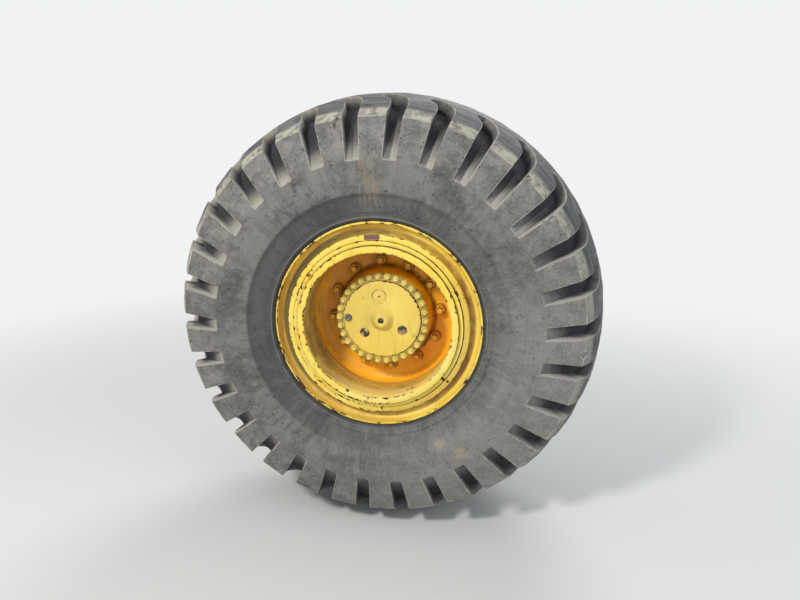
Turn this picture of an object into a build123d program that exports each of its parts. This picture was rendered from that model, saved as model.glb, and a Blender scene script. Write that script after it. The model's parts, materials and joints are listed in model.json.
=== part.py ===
"""Wheel end of a rough terrain crane: an earthmover tyre on a five-piece rim, bolted to a planetary hub
that turns on its spindle. Millimetres. The origin is the centre of the spindle flange's mating face,
+Y runs inboard along the wheel's axis, so -Y is outboard, and +Z is up. Angles go clockwise from the top,
seen from outboard."""

import os
from math import radians, tan

from build123d import *

# Rim, from its size marking: 25 inch bead seat, 22 inches between flanges, 3 inch flange height
bead_seat_diameter = 635.0
rim_width = 559.0
flange_height = 76.0
bead_seat_angle = 5.0
bead_width = 64.0

# Places along the axle
rim_offset = 236.0
disc_inset = 92.0

# Tyre, worn, each depth and rise taken from its radius and from the rim's width
tyre_radius = 850.0
sidewall_bulge = 86.5
shoulder_drop = 62.0
tread_inset = 92.0
face_edge_drop = 90.0
face_edge_inset = 44.0
buttress_radius = 614.0
sidewall_arc = 420.0
label_step_radius = 498.0
label_step_inset = 11.0
label_step_depth = 4.0
label_band_radius = 430.0
label_band_inset = 31.0
rim_guard_height = 17.5
rim_guard_reach = 6.0
tread_thickness = 108.0
shoulder_thickness = 98.0
shoulder_hollow_inset = 34.0
sidewall_thickness = 47.0

# Tread grooves, as many on each side, the far side half a pitch on
groove_count = 30
groove_phase_angle = 5.0
groove_width = 46.0
groove_draft_angle = 2.3
groove_bend_inset = 39.0
groove_bend_radius = 185.0
groove_bend_angle = 50.0
groove_depth = 48.0
groove_knee_depth = 64.0
groove_knee_inset = 134.0
groove_shoulder_depth = 46.0
groove_shoulder_inset = 12.0
pocket_step = 6.0

# Five-piece rim's sections
base_wall = 14.0
base_drop = 14.5
gutter_drop = 23.0
gutter_lip = 2.0
gutter_overhang = 54.5
gutter_length = 72.0
lock_groove_depth = 7.0
lock_groove_width = 18.0
lock_groove_overhang = 20.0
lock_ring_height = 17.5
lock_ring_overhang = 42.5
lock_ring_split = 12.0
lock_ring_split_angle = 128.0
band_lip_height = 21.5
band_lip_overhang = 38.5
band_tail = 9.5
flange_thickness = 12.0
flange_curl_radius = 31.5
flange_lip = 13.0
driver_pocket_width = 57.0
driver_pocket_depth = 6.0
driver_pocket_height = 19.0
driver_pocket_angle = -3.0
fit_gap = 0.3

# Wheel disc and its studs
disc_thickness = 20.0
disc_bore_radius = 194.5
disc_dish_radius = 36.0
stud_count = 12
stud_circle_radius = 216.0
stud_phase_angle = -5.5
stud_radius = 11.0
stud_hole_radius = 12.5
stud_reach = 32.0
stud_head_across_flats = 32.0
stud_head_height = 8.0
nut_across_flats = 34.0
nut_height = 24.0

# Hub
pilot_radius = 194.0
hub_flange_radius = 246.0
hub_flange_thickness = 24.0
drum_length = 110.0
drum_end_radius = 180.0
drum_root_radius = 187.0
drum_bore_radius = 158.0
drum_bore_depth = 120.0
hub_barrel_radius = 160.0
hub_length = 182.0
brake_face_radius = 180.0
brake_face_thickness = 26.0
outer_journal_radius = 100.0
inner_journal_radius = 115.0
journal_length = 44.0
hub_relief_radius = 124.0
running_clearance = 0.06
seal_recess_radius = 135.0
seal_recess_depth = 14.0

# Hub cover, which carries the planet pins
cover_thickness = 14.0
cover_plateau_radius = 151.0
cover_plateau_height = 6.0
boss_base_radius = 45.0
boss_top_radius = 25.0
boss_height = 26.0
cover_bolt_count = 30
cover_bolt_circle_radius = 168.6
cover_bolt_across_flats = 18.0
cover_bolt_height = 8.0
pin_circle_radius = 90.0
pin_cap_radius = 26.0
sunk_pin_cap_radius = 19.0
pin_cap_sink = 5.0
pin_cap_thickness = 4.0
fill_plug_circle_radius = 133.0
fill_plug_angle = -89.0
fill_plug_radius = 14.0
fill_plug_height = 6.0
socket_across_flats = 12.0
centre_plug_radius = 11.0
centre_plug_length = 18.0
centre_plug_recess = 3.0
gear_block_radius = 150.0
gear_block_bore_radius = 55.0
gear_block_length = 88.0

# Brake
brake_disc_clearance = 8.0
brake_disc_bore_radius = 140.0
brake_disc_thickness = 26.0
brake_bolt_count = 12
brake_bolt_circle_radius = 160.0
brake_bolt_across_flats = 24.0
brake_bolt_height = 10.0
caliper_angles = (90.0, 270.0)
caliper_span_angle = 44.0
caliper_barrel_clearance = 17.0
caliper_bridge_thickness = 29.0
caliper_pad_margin = 2.0
caliper_outboard_arm = 30.0
caliper_inboard_arm = 35.0
caliper_bolt_inset = 47.0
caliper_bolt_angle = 15.0
caliper_bolt_radius = 10.0
caliper_bolt_across_flats = 30.0
caliper_bolt_head = 12.0
caliper_bolt_grip = 40.0
caliper_foot_radius = 17.0
piston_cap_radius = 30.0
piston_cap_height = 8.0
pad_height = 44.0
pad_margin = 1.0
pad_span_angle = 28.0
pad_thickness = 18.0
pad_clearance = 1.0
bracket_thickness = 20.0
bracket_ear_margin = 22.0
bracket_ear_span_angle = 42.0

# Spindle
spindle_flange_radius = 190.0
spindle_flange_thickness = 24.0
mount_hole_count = 16
mount_circle_radius = 167.5
mount_hole_radius = 9.5
spigot_radius = 120.0
spigot_height = 12.0
shaft_bore_radius = 48.0
bracket_seat_radius = 128.0
bracket_seat_length = 26.0
seal_journal_radius = 118.0
seal_clearance = 0.5
spindle_waist_radius = 108.0
spindle_nose_radius = 95.0
spindle_nose_length = 22.0
thrust_gap = 1.0

# Tyre valve, in the barrel near the top
valve_angle = 6.0
valve_inset = 15.5
valve_hole_radius = 8.3
valve_stem_radius = 6.0
valve_stand_off = 16.0
valve_stem_length = 50.0
valve_nut_across_flats = 22.0
valve_nut_height = 8.0
valve_cap_radius = 7.5
valve_cap_length = 16.0

# Worked out from the sizes above
rim_plane = -rim_offset
disc_back = rim_plane - disc_inset
disc_front = disc_back - disc_thickness
bead_seat_radius = bead_seat_diameter / 2
bead_toe_radius = bead_seat_radius - bead_width * tan(radians(bead_seat_angle))
half_rim = rim_width / 2
bead_toe = half_rim - bead_width
tyre_half_width = half_rim + sidewall_bulge
tread_half_width = tyre_half_width - tread_inset
groove_knee_half_width = tread_half_width - groove_knee_inset
flange_radius = bead_seat_radius + flange_height
flange_curl_centre = flange_radius - flange_curl_radius
base_outer_radius = bead_seat_radius - base_drop
barrel_radius = base_outer_radius - base_wall
gutter_inner_radius = base_outer_radius - gutter_drop
gutter_outer_radius = base_outer_radius + gutter_lip
gutter_reach = half_rim + gutter_overhang
lock_groove_radius = base_outer_radius - lock_groove_depth
lock_groove_centre = half_rim + lock_groove_overhang
lock_ring_radius = gutter_outer_radius + lock_ring_height
lock_ring_reach = half_rim + lock_ring_overhang
band_lip_radius = lock_ring_radius + band_lip_height
band_lip_reach = half_rim + band_lip_overhang
band_reach_in = bead_toe - band_tail
valve_reach = bead_toe - valve_inset
caliper_outer_radius = barrel_radius - caliper_barrel_clearance
caliper_bridge_radius = caliper_outer_radius - caliper_bridge_thickness
caliper_bolt_circle_radius = caliper_outer_radius - caliper_bolt_inset
brake_disc_radius = caliper_bridge_radius - brake_disc_clearance
pad_outer_radius = brake_disc_radius - pad_margin
pad_inner_radius = pad_outer_radius - pad_height
caliper_inner_radius = pad_inner_radius - caliper_pad_margin
bracket_ear_radius = caliper_bolt_circle_radius + bracket_ear_margin
cover_seat = disc_back - drum_length
cover_face = cover_seat - cover_thickness
plateau_face = cover_face - cover_plateau_height
hub_flange_back = disc_back + hub_flange_thickness
brake_face = disc_back + hub_length
seal_floor = brake_face - seal_recess_depth
inner_land = seal_floor - journal_length
drum_floor = cover_seat + drum_bore_depth
outer_land = drum_floor + journal_length
brake_disc_back = brake_face + brake_disc_thickness
bracket_back = -spindle_flange_thickness
bracket_front = bracket_back - bracket_thickness


def ring(*corners, span=360):
    """Revolve an outline about the wheel's axis, centred on the top where the span is short. A corner is
    (radius, y), and a third value is the radius of the arc to it, plus where it bulges left of its way."""
    edges = []
    start = corners[0][:2]
    for corner in corners[1:] + corners[:1]:
        end = corner[:2]
        edges.append(RadiusArc(start, end, corner[2]) if len(corner) == 3 else Line(start, end))
        start = end
    return Rot(0, -90 - span / 2, 0) * revolve(make_face(edges), Axis.Y, span)


def rod(radius, y_from, y_to):
    """Round bar on the wheel's axis."""
    return Pos(0, (y_from + y_to) / 2, 0) * Rot(90, 0, 0) * Cylinder(radius, abs(y_to - y_from))


def hexagon(across_flats, y_from, y_to):
    """Six-sided bar on the wheel's axis."""
    outline = RegularPolygon(across_flats / 2, 6, major_radius=False)
    return Pos(0, max(y_from, y_to), 0) * Rot(90, 0, 0) * extrude(outline, abs(y_to - y_from))


def at(shape, angle, radius=0.0):
    """The shape moved out from the axis by a radius and turned to an angle."""
    return Rot(0, angle, 0) * Pos(0, 0, radius) * shape


def around(shape, count, phase=0.0, radius=0.0):
    """Copies of the shape at equal angles round the axis."""
    return [at(shape, phase + 360 * i / count, radius) for i in range(count)]


def together(shapes):
    """Like pieces as separate solids of one node."""
    return Compound([solid for shape in shapes for solid in shape.solids()])


def out(distance):
    """Place outboard of the rim's centre plane."""
    return rim_plane - distance


def inboard(shape):
    """The shape mirrored to the inboard side of the rim's centre plane."""
    return mirror(shape, about=Plane.XZ.offset(rim_offset))


def tyre():
    """Casing with a hollow inside, its lugs left between grooves that are cut from both shoulders."""
    crown_arc = (shoulder_drop ** 2 + tread_half_width ** 2) / (2 * shoulder_drop)
    curl = flange_curl_radius + fit_gap
    curl_chamfer = curl * tan(radians(45 / 2))
    bead_face = half_rim - fit_gap
    flange_side = flange_radius + fit_gap
    half = ring(
        (tyre_radius - tread_thickness, out(0)),
        (tyre_radius - shoulder_drop - shoulder_thickness, out(tread_half_width - shoulder_hollow_inset)),
        (buttress_radius, out(tyre_half_width - sidewall_thickness)),
        (bead_seat_radius + bead_width, out(bead_toe + bead_width / 2)),
        (bead_toe_radius, out(bead_toe)),
        (bead_seat_radius, out(bead_face)),
        (flange_curl_centre + curl_chamfer, out(bead_face)),
        (flange_side, out(bead_face + curl - curl_chamfer)),
        (flange_side, out(half_rim + flange_curl_radius + flange_lip / 2)),
        (flange_radius + rim_guard_height, out(half_rim + flange_curl_radius + flange_lip + rim_guard_reach)),
        (label_band_radius, out(tyre_half_width - label_band_inset)),
        (label_step_radius - label_step_depth, out(tyre_half_width - label_step_inset - label_step_depth)),
        (label_step_radius, out(tyre_half_width - label_step_inset)),
        (buttress_radius, out(tyre_half_width), -sidewall_arc),
        (tyre_radius - face_edge_drop, out(tyre_half_width - face_edge_inset)),
        (tyre_radius - shoulder_drop, out(tread_half_width)),
        (tyre_radius, out(0), -crown_arc),
    )
    near = groove()
    far = Pos(0, 2 * rim_plane, 0) * Rot(0, 0, 180) * near
    pitch = 360 / groove_count
    grooves = around(near, groove_count, groove_phase_angle)
    grooves += around(far, groove_count, groove_phase_angle + pitch / 2)
    return half + inboard(half) - grooves


def groove():
    """One tread groove at the top: straight in from the shoulder, then bending anticlockwise, with drafted
    walls, and open to the side as a pocket that ends at the buttress line."""
    wall = groove_width / 2
    side = out(tyre_half_width + groove_width)
    bend = out(tread_half_width - groove_bend_inset)
    bend_centre = wall - groove_bend_radius
    leading = Vector(groove_bend_radius, 0).rotate(Axis.Z, groove_bend_angle)
    trailing = Vector(groove_bend_radius - groove_width, 0).rotate(Axis.Z, groove_bend_angle)
    leading_end = (bend_centre + leading.X, bend + leading.Y)
    trailing_end = (bend_centre + trailing.X, bend + trailing.Y)
    plan = make_face([
        Line((-wall, side), (wall, side)),
        Line((wall, side), (wall, bend)),
        RadiusArc((wall, bend), leading_end, -groove_bend_radius),
        Line(leading_end, trailing_end),
        RadiusArc(trailing_end, (-wall, bend), groove_bend_radius - groove_width),
        Line((-wall, bend), (-wall, side)),
    ])
    height = tyre_radius - buttress_radius + 2 * pocket_step
    walls = Pos(0, 0, buttress_radius - pocket_step) * extrude(plan, height, taper=-groove_draft_angle)
    top = tyre_radius + pocket_step
    # Side view of what is cut away, as (y, z): the pocket's end, its sloping floor and the tread floor
    section = make_face(Polyline(
        (out(tyre_half_width - pocket_step), buttress_radius),
        (out(tread_half_width - groove_shoulder_inset), tyre_radius - shoulder_drop - groove_shoulder_depth),
        (out(groove_knee_half_width), tyre_radius - groove_knee_depth),
        (out(0), tyre_radius - groove_depth),
        (out(0), top),
        (side, top),
        (side, buttress_radius),
        close=True,
    ))
    floor = Plane.YZ * extrude(section, 2 * groove_bend_radius, both=True)
    return floor & walls


def rim_base():
    """Barrel with the gutter rolled into its outboard end and the fixed bead seat at its inboard end."""
    groove_out = out(lock_groove_centre + lock_groove_width / 2)
    groove_in = out(lock_groove_centre - lock_groove_width / 2)
    seat_back = half_rim + flange_thickness + fit_gap
    body = ring(
        (gutter_inner_radius, out(gutter_reach)),
        (gutter_outer_radius, out(gutter_reach)),
        (gutter_outer_radius, groove_out),
        (lock_groove_radius, groove_out),
        (lock_groove_radius, groove_in),
        (base_outer_radius, groove_in + base_outer_radius - lock_groove_radius),
        (base_outer_radius, out(-bead_toe + 2 * base_wall)),
        (bead_toe_radius - fit_gap, out(-bead_toe)),
        (bead_seat_radius - fit_gap, out(-half_rim + fit_gap)),
        (bead_seat_radius - fit_gap, out(-seat_back)),
        (band_lip_radius, out(-seat_back)),
        (band_lip_radius, out(-band_lip_reach)),
        (base_outer_radius, out(-band_lip_reach)),
        (barrel_radius, out(-seat_back)),
        (barrel_radius, out(gutter_reach - gutter_length - base_wall)),
        (gutter_inner_radius, out(gutter_reach - gutter_length)),
    )
    valve_hole = Cylinder(valve_hole_radius, 4 * base_wall)
    return body - at(Pos(0, out(valve_reach), 0) * valve_hole, valve_angle, barrel_radius)


def bead_seat_band():
    """Loose band that carries the outboard bead, with a lip in front of the flange and a driver pocket."""
    seat_back = half_rim + flange_thickness + fit_gap
    lock_side = lock_ring_radius + fit_gap
    lock_depth = lock_groove_centre - fit_gap
    inner = base_outer_radius + fit_gap
    body = ring(
        (inner, out(band_reach_in)),
        (bead_toe_radius - fit_gap, out(band_reach_in)),
        (bead_toe_radius - fit_gap, out(bead_toe)),
        (bead_seat_radius - fit_gap, out(half_rim - fit_gap)),
        (bead_seat_radius - fit_gap, out(seat_back)),
        (band_lip_radius, out(seat_back)),
        (band_lip_radius, out(band_lip_reach)),
        (lock_side, out(band_lip_reach)),
        (lock_side, out(lock_depth - fit_gap)),
        (inner, out(lock_depth - base_wall)),
    )
    pocket = Pos(0, out(band_lip_reach), 0) * Box(
        driver_pocket_width, 2 * driver_pocket_depth, 2 * driver_pocket_height
    )
    return body - at(pocket, driver_pocket_angle, band_lip_radius)


def lock_ring():
    """Split ring that snaps into the gutter and holds the band on."""
    groove_out = lock_groove_centre + lock_groove_width / 2 - fit_gap
    groove_in = lock_groove_centre - lock_groove_width / 2 + fit_gap
    heel = gutter_outer_radius + fit_gap
    body = ring(
        (lock_groove_radius + fit_gap, out(groove_in + fit_gap)),
        (base_outer_radius, out(lock_groove_centre - base_wall + 3 * fit_gap)),
        (lock_ring_radius, out(lock_groove_centre + fit_gap)),
        (lock_ring_radius, out(lock_ring_reach)),
        (heel, out(lock_ring_reach)),
        (heel, out(groove_out)),
        (lock_groove_radius + fit_gap, out(groove_out)),
    )
    split = Pos(0, out(lock_groove_centre), 0) * Box(lock_ring_split, rim_width / 4, 4 * lock_groove_width)
    return body - at(split, lock_ring_split_angle, lock_ring_radius)


def flange():
    """Outboard side ring: a web against the bead that curls out over the tyre."""
    curl_plane = half_rim + flange_curl_radius
    channel = flange_curl_radius - flange_thickness
    edge = curl_plane + flange_lip
    return ring(
        (bead_seat_radius, out(half_rim)),
        (flange_curl_centre, out(half_rim)),
        (flange_radius, out(curl_plane), flange_curl_radius),
        (flange_radius, out(edge - flange_thickness / 3)),
        (flange_radius - flange_thickness / 3, out(edge)),
        (flange_radius - flange_thickness * 2 / 3, out(edge)),
        (flange_curl_centre + channel, out(curl_plane)),
        (flange_curl_centre, out(half_rim + flange_thickness), -channel),
        (bead_seat_radius, out(half_rim + flange_thickness)),
    )


def wheel_disc():
    """Dished plate that is welded in the barrel and bolts to the hub."""
    edge = barrel_radius - fit_gap
    body = ring(
        (disc_bore_radius, disc_back),
        (edge - disc_dish_radius + disc_thickness / 2, disc_back),
        (edge, disc_back - disc_thickness / 2),
        (edge, disc_front - disc_dish_radius),
        (edge - disc_dish_radius, disc_front, -disc_dish_radius),
        (disc_bore_radius, disc_front),
    )
    hole = rod(stud_hole_radius, disc_back + 1, disc_front - 1)
    return body - around(hole, stud_count, stud_phase_angle, stud_circle_radius)


def wheel_studs():
    """Studs with their heads behind the hub flange."""
    stud = rod(stud_radius, hub_flange_back, disc_front - stud_reach)
    stud += hexagon(stud_head_across_flats, hub_flange_back, hub_flange_back + stud_head_height)
    return together(around(stud, stud_count, stud_phase_angle, stud_circle_radius))


def wheel_nuts():
    """Nuts on the wheel disc."""
    nut = hexagon(nut_across_flats, disc_front, disc_front - nut_height)
    nut -= rod(stud_radius + fit_gap, disc_front + 1, disc_front - nut_height - 1)
    return together(around(nut, stud_count, stud_phase_angle, stud_circle_radius))


def hub():
    """One casting: drum for the planet gears, wheel flange and the barrel that runs on the spindle."""
    pilot_end = disc_front - (pilot_radius - drum_root_radius)
    neck = hub_flange_thickness * 0.75
    body = ring(
        (drum_end_radius, cover_seat),
        (drum_root_radius, pilot_end),
        (pilot_radius, disc_front),
        (pilot_radius, disc_back),
        (hub_flange_radius, disc_back),
        (hub_flange_radius, hub_flange_back),
        (hub_barrel_radius + neck, hub_flange_back),
        (hub_barrel_radius, hub_flange_back + neck, neck),
        (hub_barrel_radius, brake_face - 2 * brake_face_thickness),
        (brake_face_radius, brake_face - brake_face_thickness),
        (brake_face_radius, brake_face),
        (seal_recess_radius, brake_face),
        (seal_recess_radius, seal_floor),
        (inner_journal_radius, seal_floor),
        (inner_journal_radius, inner_land),
        (hub_relief_radius, inner_land - neck / 2),
        (hub_relief_radius, outer_land + neck / 2),
        (outer_journal_radius, outer_land),
        (outer_journal_radius, drum_floor),
        (drum_bore_radius, drum_floor),
        (drum_bore_radius, cover_seat),
    )
    hole = rod(stud_radius + fit_gap, disc_back - 1, hub_flange_back + 1)
    return body - around(hole, stud_count, stud_phase_angle, stud_circle_radius)


# Planet pins in the cover: angle, cap radius and how deep the cap sits
planet_pins = [
    (-7.0, pin_cap_radius, 0.0),
    (118.0, sunk_pin_cap_radius, pin_cap_sink),
    (230.0, sunk_pin_cap_radius, pin_cap_sink),
]


def hub_cover():
    """End cover with a raised centre, a conical boss and the pin ends in shallow seats."""
    body = ring(
        (0, cover_seat),
        (drum_end_radius, cover_seat),
        (drum_end_radius, cover_face),
        (cover_plateau_radius + cover_plateau_height / 3, cover_face),
        (cover_plateau_radius, plateau_face),
        (boss_base_radius, plateau_face),
        (boss_top_radius, plateau_face - boss_height),
        (0, plateau_face - boss_height),
    )
    boss_top = plateau_face - boss_height
    body -= rod(centre_plug_radius, boss_top - 1, boss_top + centre_plug_length)
    for angle, radius, depth in planet_pins:
        seat = rod(radius, plateau_face - 1, plateau_face + depth + pin_cap_thickness)
        body -= at(seat, angle, pin_circle_radius)
    return body


def planet_pin_caps():
    """Ends of the three planet pins."""
    caps = []
    for angle, radius, depth in planet_pins:
        cap = rod(radius - fit_gap, plateau_face + depth, plateau_face + depth + pin_cap_thickness)
        caps.append(at(cap, angle, pin_circle_radius))
    return together(caps)


def cover_bolts():
    """Heads of the bolts that hold the cover on the drum."""
    head = hexagon(cover_bolt_across_flats, cover_face, cover_face - cover_bolt_height)
    return together(around(head, cover_bolt_count, stud_phase_angle, cover_bolt_circle_radius))


def fill_plug():
    """Oil level plug on the cover's raised centre, with a hexagon socket."""
    head = rod(fill_plug_radius, plateau_face, plateau_face - fill_plug_height)
    head -= hexagon(socket_across_flats, plateau_face - fill_plug_height / 3, plateau_face - fill_plug_height - 1)
    return at(head, fill_plug_angle, fill_plug_circle_radius)


def centre_plug():
    """Socket plug in the boss."""
    bottom = plateau_face - boss_height + centre_plug_length
    top = plateau_face - boss_height + centre_plug_recess
    plug = rod(centre_plug_radius - fit_gap, bottom, top)
    return plug - hexagon(socket_across_flats, bottom - centre_plug_length / 3, top - 1)


def gear_block():
    """Planet gears and their carrier as one plain block, on the cover's inside face."""
    body = rod(gear_block_radius, cover_seat, cover_seat + gear_block_length)
    return body - rod(gear_block_bore_radius, cover_seat - 1, cover_seat + gear_block_length + 1)


def hub_seal():
    """Seal pressed in the hub's recess, just clear of the spindle."""
    inner = seal_journal_radius + seal_clearance
    outer = seal_recess_radius - running_clearance
    face = brake_face - seal_recess_depth / 6
    return ring((inner, seal_floor), (outer, seal_floor), (outer, face), (inner, face))


def brake_disc():
    """Plain disc bolted to the hub's inboard face."""
    return ring(
        (brake_disc_bore_radius, brake_face),
        (brake_disc_radius, brake_face),
        (brake_disc_radius, brake_disc_back),
        (brake_disc_bore_radius, brake_disc_back),
    )


def brake_disc_bolts():
    """Heads of the bolts that hold the brake disc."""
    head = hexagon(brake_bolt_across_flats, brake_disc_back, brake_disc_back + brake_bolt_height)
    return together(around(head, brake_bolt_count, 0.0, brake_bolt_circle_radius))


def valve_stem():
    """Tyre valve: a nut inside the barrel, a bent stem that lies along it, and its cap."""
    stem_line = barrel_radius - valve_stand_off
    end = out(valve_reach + valve_stem_length)
    riser = Pos(0, out(valve_reach), (stem_line + base_outer_radius) / 2) * Cylinder(
        valve_stem_radius, base_outer_radius - stem_line
    )
    elbow = Pos(0, out(valve_reach), stem_line) * Sphere(valve_stem_radius)
    nut_outline = RegularPolygon(valve_nut_across_flats / 2, 6, major_radius=False)
    nut = Pos(0, out(valve_reach), barrel_radius - 2 * fit_gap - valve_nut_height) * extrude(
        nut_outline, valve_nut_height
    )
    stem = Pos(0, 0, stem_line) * rod(valve_stem_radius, out(valve_reach), end)
    cap = Pos(0, 0, stem_line) * rod(valve_cap_radius, end, end + valve_cap_length)
    return Rot(0, valve_angle, 0) * (riser + elbow + nut + stem + cap)


def spindle():
    """Hollow spindle: flange with its spigot and bolt circle, bracket seat, seal track and two journals."""
    step = seal_floor + thrust_gap
    neck = inner_journal_radius - spindle_waist_radius
    nose = drum_floor - spindle_nose_length
    inner = inner_journal_radius - running_clearance
    outer = outer_journal_radius - running_clearance
    body = ring(
        (shaft_bore_radius, spigot_height),
        (spigot_radius, spigot_height),
        (spigot_radius, 0),
        (spindle_flange_radius, 0),
        (spindle_flange_radius, bracket_back),
        (bracket_seat_radius, bracket_back),
        (bracket_seat_radius, bracket_back - bracket_seat_length),
        (seal_journal_radius, bracket_back - bracket_seat_length - bracket_seat_radius + seal_journal_radius),
        (seal_journal_radius, step),
        (inner, step),
        (inner, inner_land),
        (spindle_waist_radius, inner_land - neck),
        (spindle_waist_radius, outer_land + neck),
        (outer, outer_land),
        (outer, drum_floor),
        (spindle_nose_radius, drum_floor - outer + spindle_nose_radius),
        (spindle_nose_radius, nose),
        (shaft_bore_radius, nose),
    )
    hole = rod(mount_hole_radius, 1, bracket_back - 1)
    return body - around(hole, mount_hole_count, 0.0, mount_circle_radius)


def caliper_bracket():
    """Plate on the spindle flange's outboard face, with an ear for each caliper."""
    seat = bracket_seat_radius + fit_gap
    body = ring(
        (seat, bracket_back),
        (spindle_flange_radius, bracket_back),
        (spindle_flange_radius, bracket_front),
        (seat, bracket_front),
    )
    ear = ring(
        (mount_circle_radius, bracket_back),
        (bracket_ear_radius, bracket_back),
        (bracket_ear_radius, bracket_front),
        (mount_circle_radius, bracket_front),
        span=bracket_ear_span_angle,
    )
    bolt_hole = rod(caliper_bolt_radius + fit_gap, bracket_back + 1, bracket_front - 1)
    for angle in caliper_angles:
        body += at(ear, angle)
        for side in (-caliper_bolt_angle, caliper_bolt_angle):
            body -= at(bolt_hole, angle + side, caliper_bolt_circle_radius)
    hole = rod(mount_hole_radius, bracket_back + 1, bracket_front - 1)
    return body - around(hole, mount_hole_count, 0.0, mount_circle_radius)


def caliper():
    """Brake caliper at the top: a bridge over the disc with two arms, piston caps and mounting feet."""
    slot_front = brake_face - pad_clearance - pad_thickness
    slot_back = brake_disc_back + pad_clearance + pad_thickness
    front = slot_front - caliper_outboard_arm
    back = slot_back + caliper_inboard_arm
    body = ring(
        (caliper_inner_radius, front),
        (caliper_outer_radius, front),
        (caliper_outer_radius, back),
        (caliper_inner_radius, back),
        (caliper_inner_radius, slot_back),
        (caliper_bridge_radius, slot_back),
        (caliper_bridge_radius, slot_front),
        (caliper_inner_radius, slot_front),
        span=caliper_span_angle,
    )
    pad_radius = (pad_inner_radius + pad_outer_radius) / 2
    body += at(rod(piston_cap_radius, front, front - piston_cap_height), 0, pad_radius)
    body += at(rod(piston_cap_radius, back, back + piston_cap_height), 0, pad_radius)
    for side in (-caliper_bolt_angle, caliper_bolt_angle):
        body += at(rod(caliper_foot_radius, back, bracket_front), side, caliper_bolt_circle_radius)
        bolt_hole = rod(caliper_bolt_radius + fit_gap, bracket_front + 1, bracket_back - caliper_bolt_grip - 1)
        body -= at(bolt_hole, side, caliper_bolt_circle_radius)
    return body


def caliper_bolts():
    """Bolts through the bracket's ears into the calipers' feet."""
    bolt = rod(caliper_bolt_radius, bracket_back, bracket_back - caliper_bolt_grip)
    bolt += hexagon(caliper_bolt_across_flats, bracket_back, bracket_back + caliper_bolt_head)
    return together([
        at(bolt, angle + side, caliper_bolt_circle_radius)
        for angle in caliper_angles
        for side in (-caliper_bolt_angle, caliper_bolt_angle)
    ])


def brake_pads():
    """Two pads in each caliper, one each side of the disc."""
    pads = []
    for face, direction in ((brake_face - pad_clearance, -1), (brake_disc_back + pad_clearance, 1)):
        back = face + direction * pad_thickness
        pad = ring(
            (pad_inner_radius, face),
            (pad_outer_radius, face),
            (pad_outer_radius, back),
            (pad_inner_radius, back),
            span=pad_span_angle,
        )
        pads += [at(pad, angle) for angle in caliper_angles]
    return together(pads)


one_flange = flange()
one_caliper = caliper()
nodes = {
    "tyre": tyre(),
    "rim_base": rim_base(),
    "bead_seat_band": bead_seat_band(),
    "lock_ring": lock_ring(),
    "flange_outer": one_flange,
    "flange_inner": inboard(one_flange),
    "wheel_disc": wheel_disc(),
    "wheel_studs": wheel_studs(),
    "wheel_nuts": wheel_nuts(),
    "hub": hub(),
    "hub_cover": hub_cover(),
    "planet_pin_caps": planet_pin_caps(),
    "cover_bolts": cover_bolts(),
    "fill_plug": fill_plug(),
    "centre_plug": centre_plug(),
    "gear_block": gear_block(),
    "hub_seal": hub_seal(),
    "brake_disc": brake_disc(),
    "brake_disc_bolts": brake_disc_bolts(),
    "valve_stem": valve_stem(),
    "spindle": spindle(),
    "caliper_bracket": caliper_bracket(),
    "caliper_front": at(one_caliper, caliper_angles[0]),
    "caliper_rear": at(one_caliper, caliper_angles[1]),
    "caliper_bolts": caliper_bolts(),
    "brake_pads": brake_pads(),
}

os.makedirs("parts", exist_ok=True)
for name, shape in nodes.items():
    export_step(shape, f"parts/{name}.step")
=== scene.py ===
import json
import math

import bpy
from mathutils import Matrix, Vector, noise

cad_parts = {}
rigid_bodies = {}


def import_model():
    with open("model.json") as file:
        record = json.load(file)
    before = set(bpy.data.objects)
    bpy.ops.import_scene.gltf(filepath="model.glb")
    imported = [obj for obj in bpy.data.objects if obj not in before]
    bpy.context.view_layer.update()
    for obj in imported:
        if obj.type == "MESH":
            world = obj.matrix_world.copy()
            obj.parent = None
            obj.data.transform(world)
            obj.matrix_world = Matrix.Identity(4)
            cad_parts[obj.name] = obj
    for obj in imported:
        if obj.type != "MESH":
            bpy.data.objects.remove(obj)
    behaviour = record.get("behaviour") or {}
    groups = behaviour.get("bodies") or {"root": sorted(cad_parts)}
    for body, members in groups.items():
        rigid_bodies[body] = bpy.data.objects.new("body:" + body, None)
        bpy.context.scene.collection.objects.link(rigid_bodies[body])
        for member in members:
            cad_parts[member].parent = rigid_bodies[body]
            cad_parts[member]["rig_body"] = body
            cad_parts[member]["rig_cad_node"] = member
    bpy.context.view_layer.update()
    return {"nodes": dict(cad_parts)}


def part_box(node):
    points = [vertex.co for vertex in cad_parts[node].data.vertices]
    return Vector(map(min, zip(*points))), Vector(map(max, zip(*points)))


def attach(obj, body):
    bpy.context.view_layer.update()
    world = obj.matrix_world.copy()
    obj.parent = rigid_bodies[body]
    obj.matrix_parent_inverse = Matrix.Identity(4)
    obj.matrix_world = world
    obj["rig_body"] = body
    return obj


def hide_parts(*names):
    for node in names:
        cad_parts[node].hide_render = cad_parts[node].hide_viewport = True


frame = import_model()

# Spindle: one iron casting that carries the wheel. Its flange and journals are turned bright, the waist
# between them is left as cast, and grease and rust sit on what isn't covered.
coats = []


def finish(name, rough=0.5, metal=0.0, gloss=0.5):
    """A new material, and the place on the object that its patterns follow. It goes last in coats, where the
    nodes that are made next belong."""
    coats.append(bpy.data.materials.new(name))
    coats[-1].use_nodes = True
    surface().inputs["Roughness"].default_value = rough
    surface().inputs["Metallic"].default_value = metal
    surface().inputs["Specular IOR Level"].default_value = gloss
    return coats[-1], shader("TexCoord").outputs["Object"]


def surface():
    return coats[-1].node_tree.nodes["Principled BSDF"]


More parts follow.
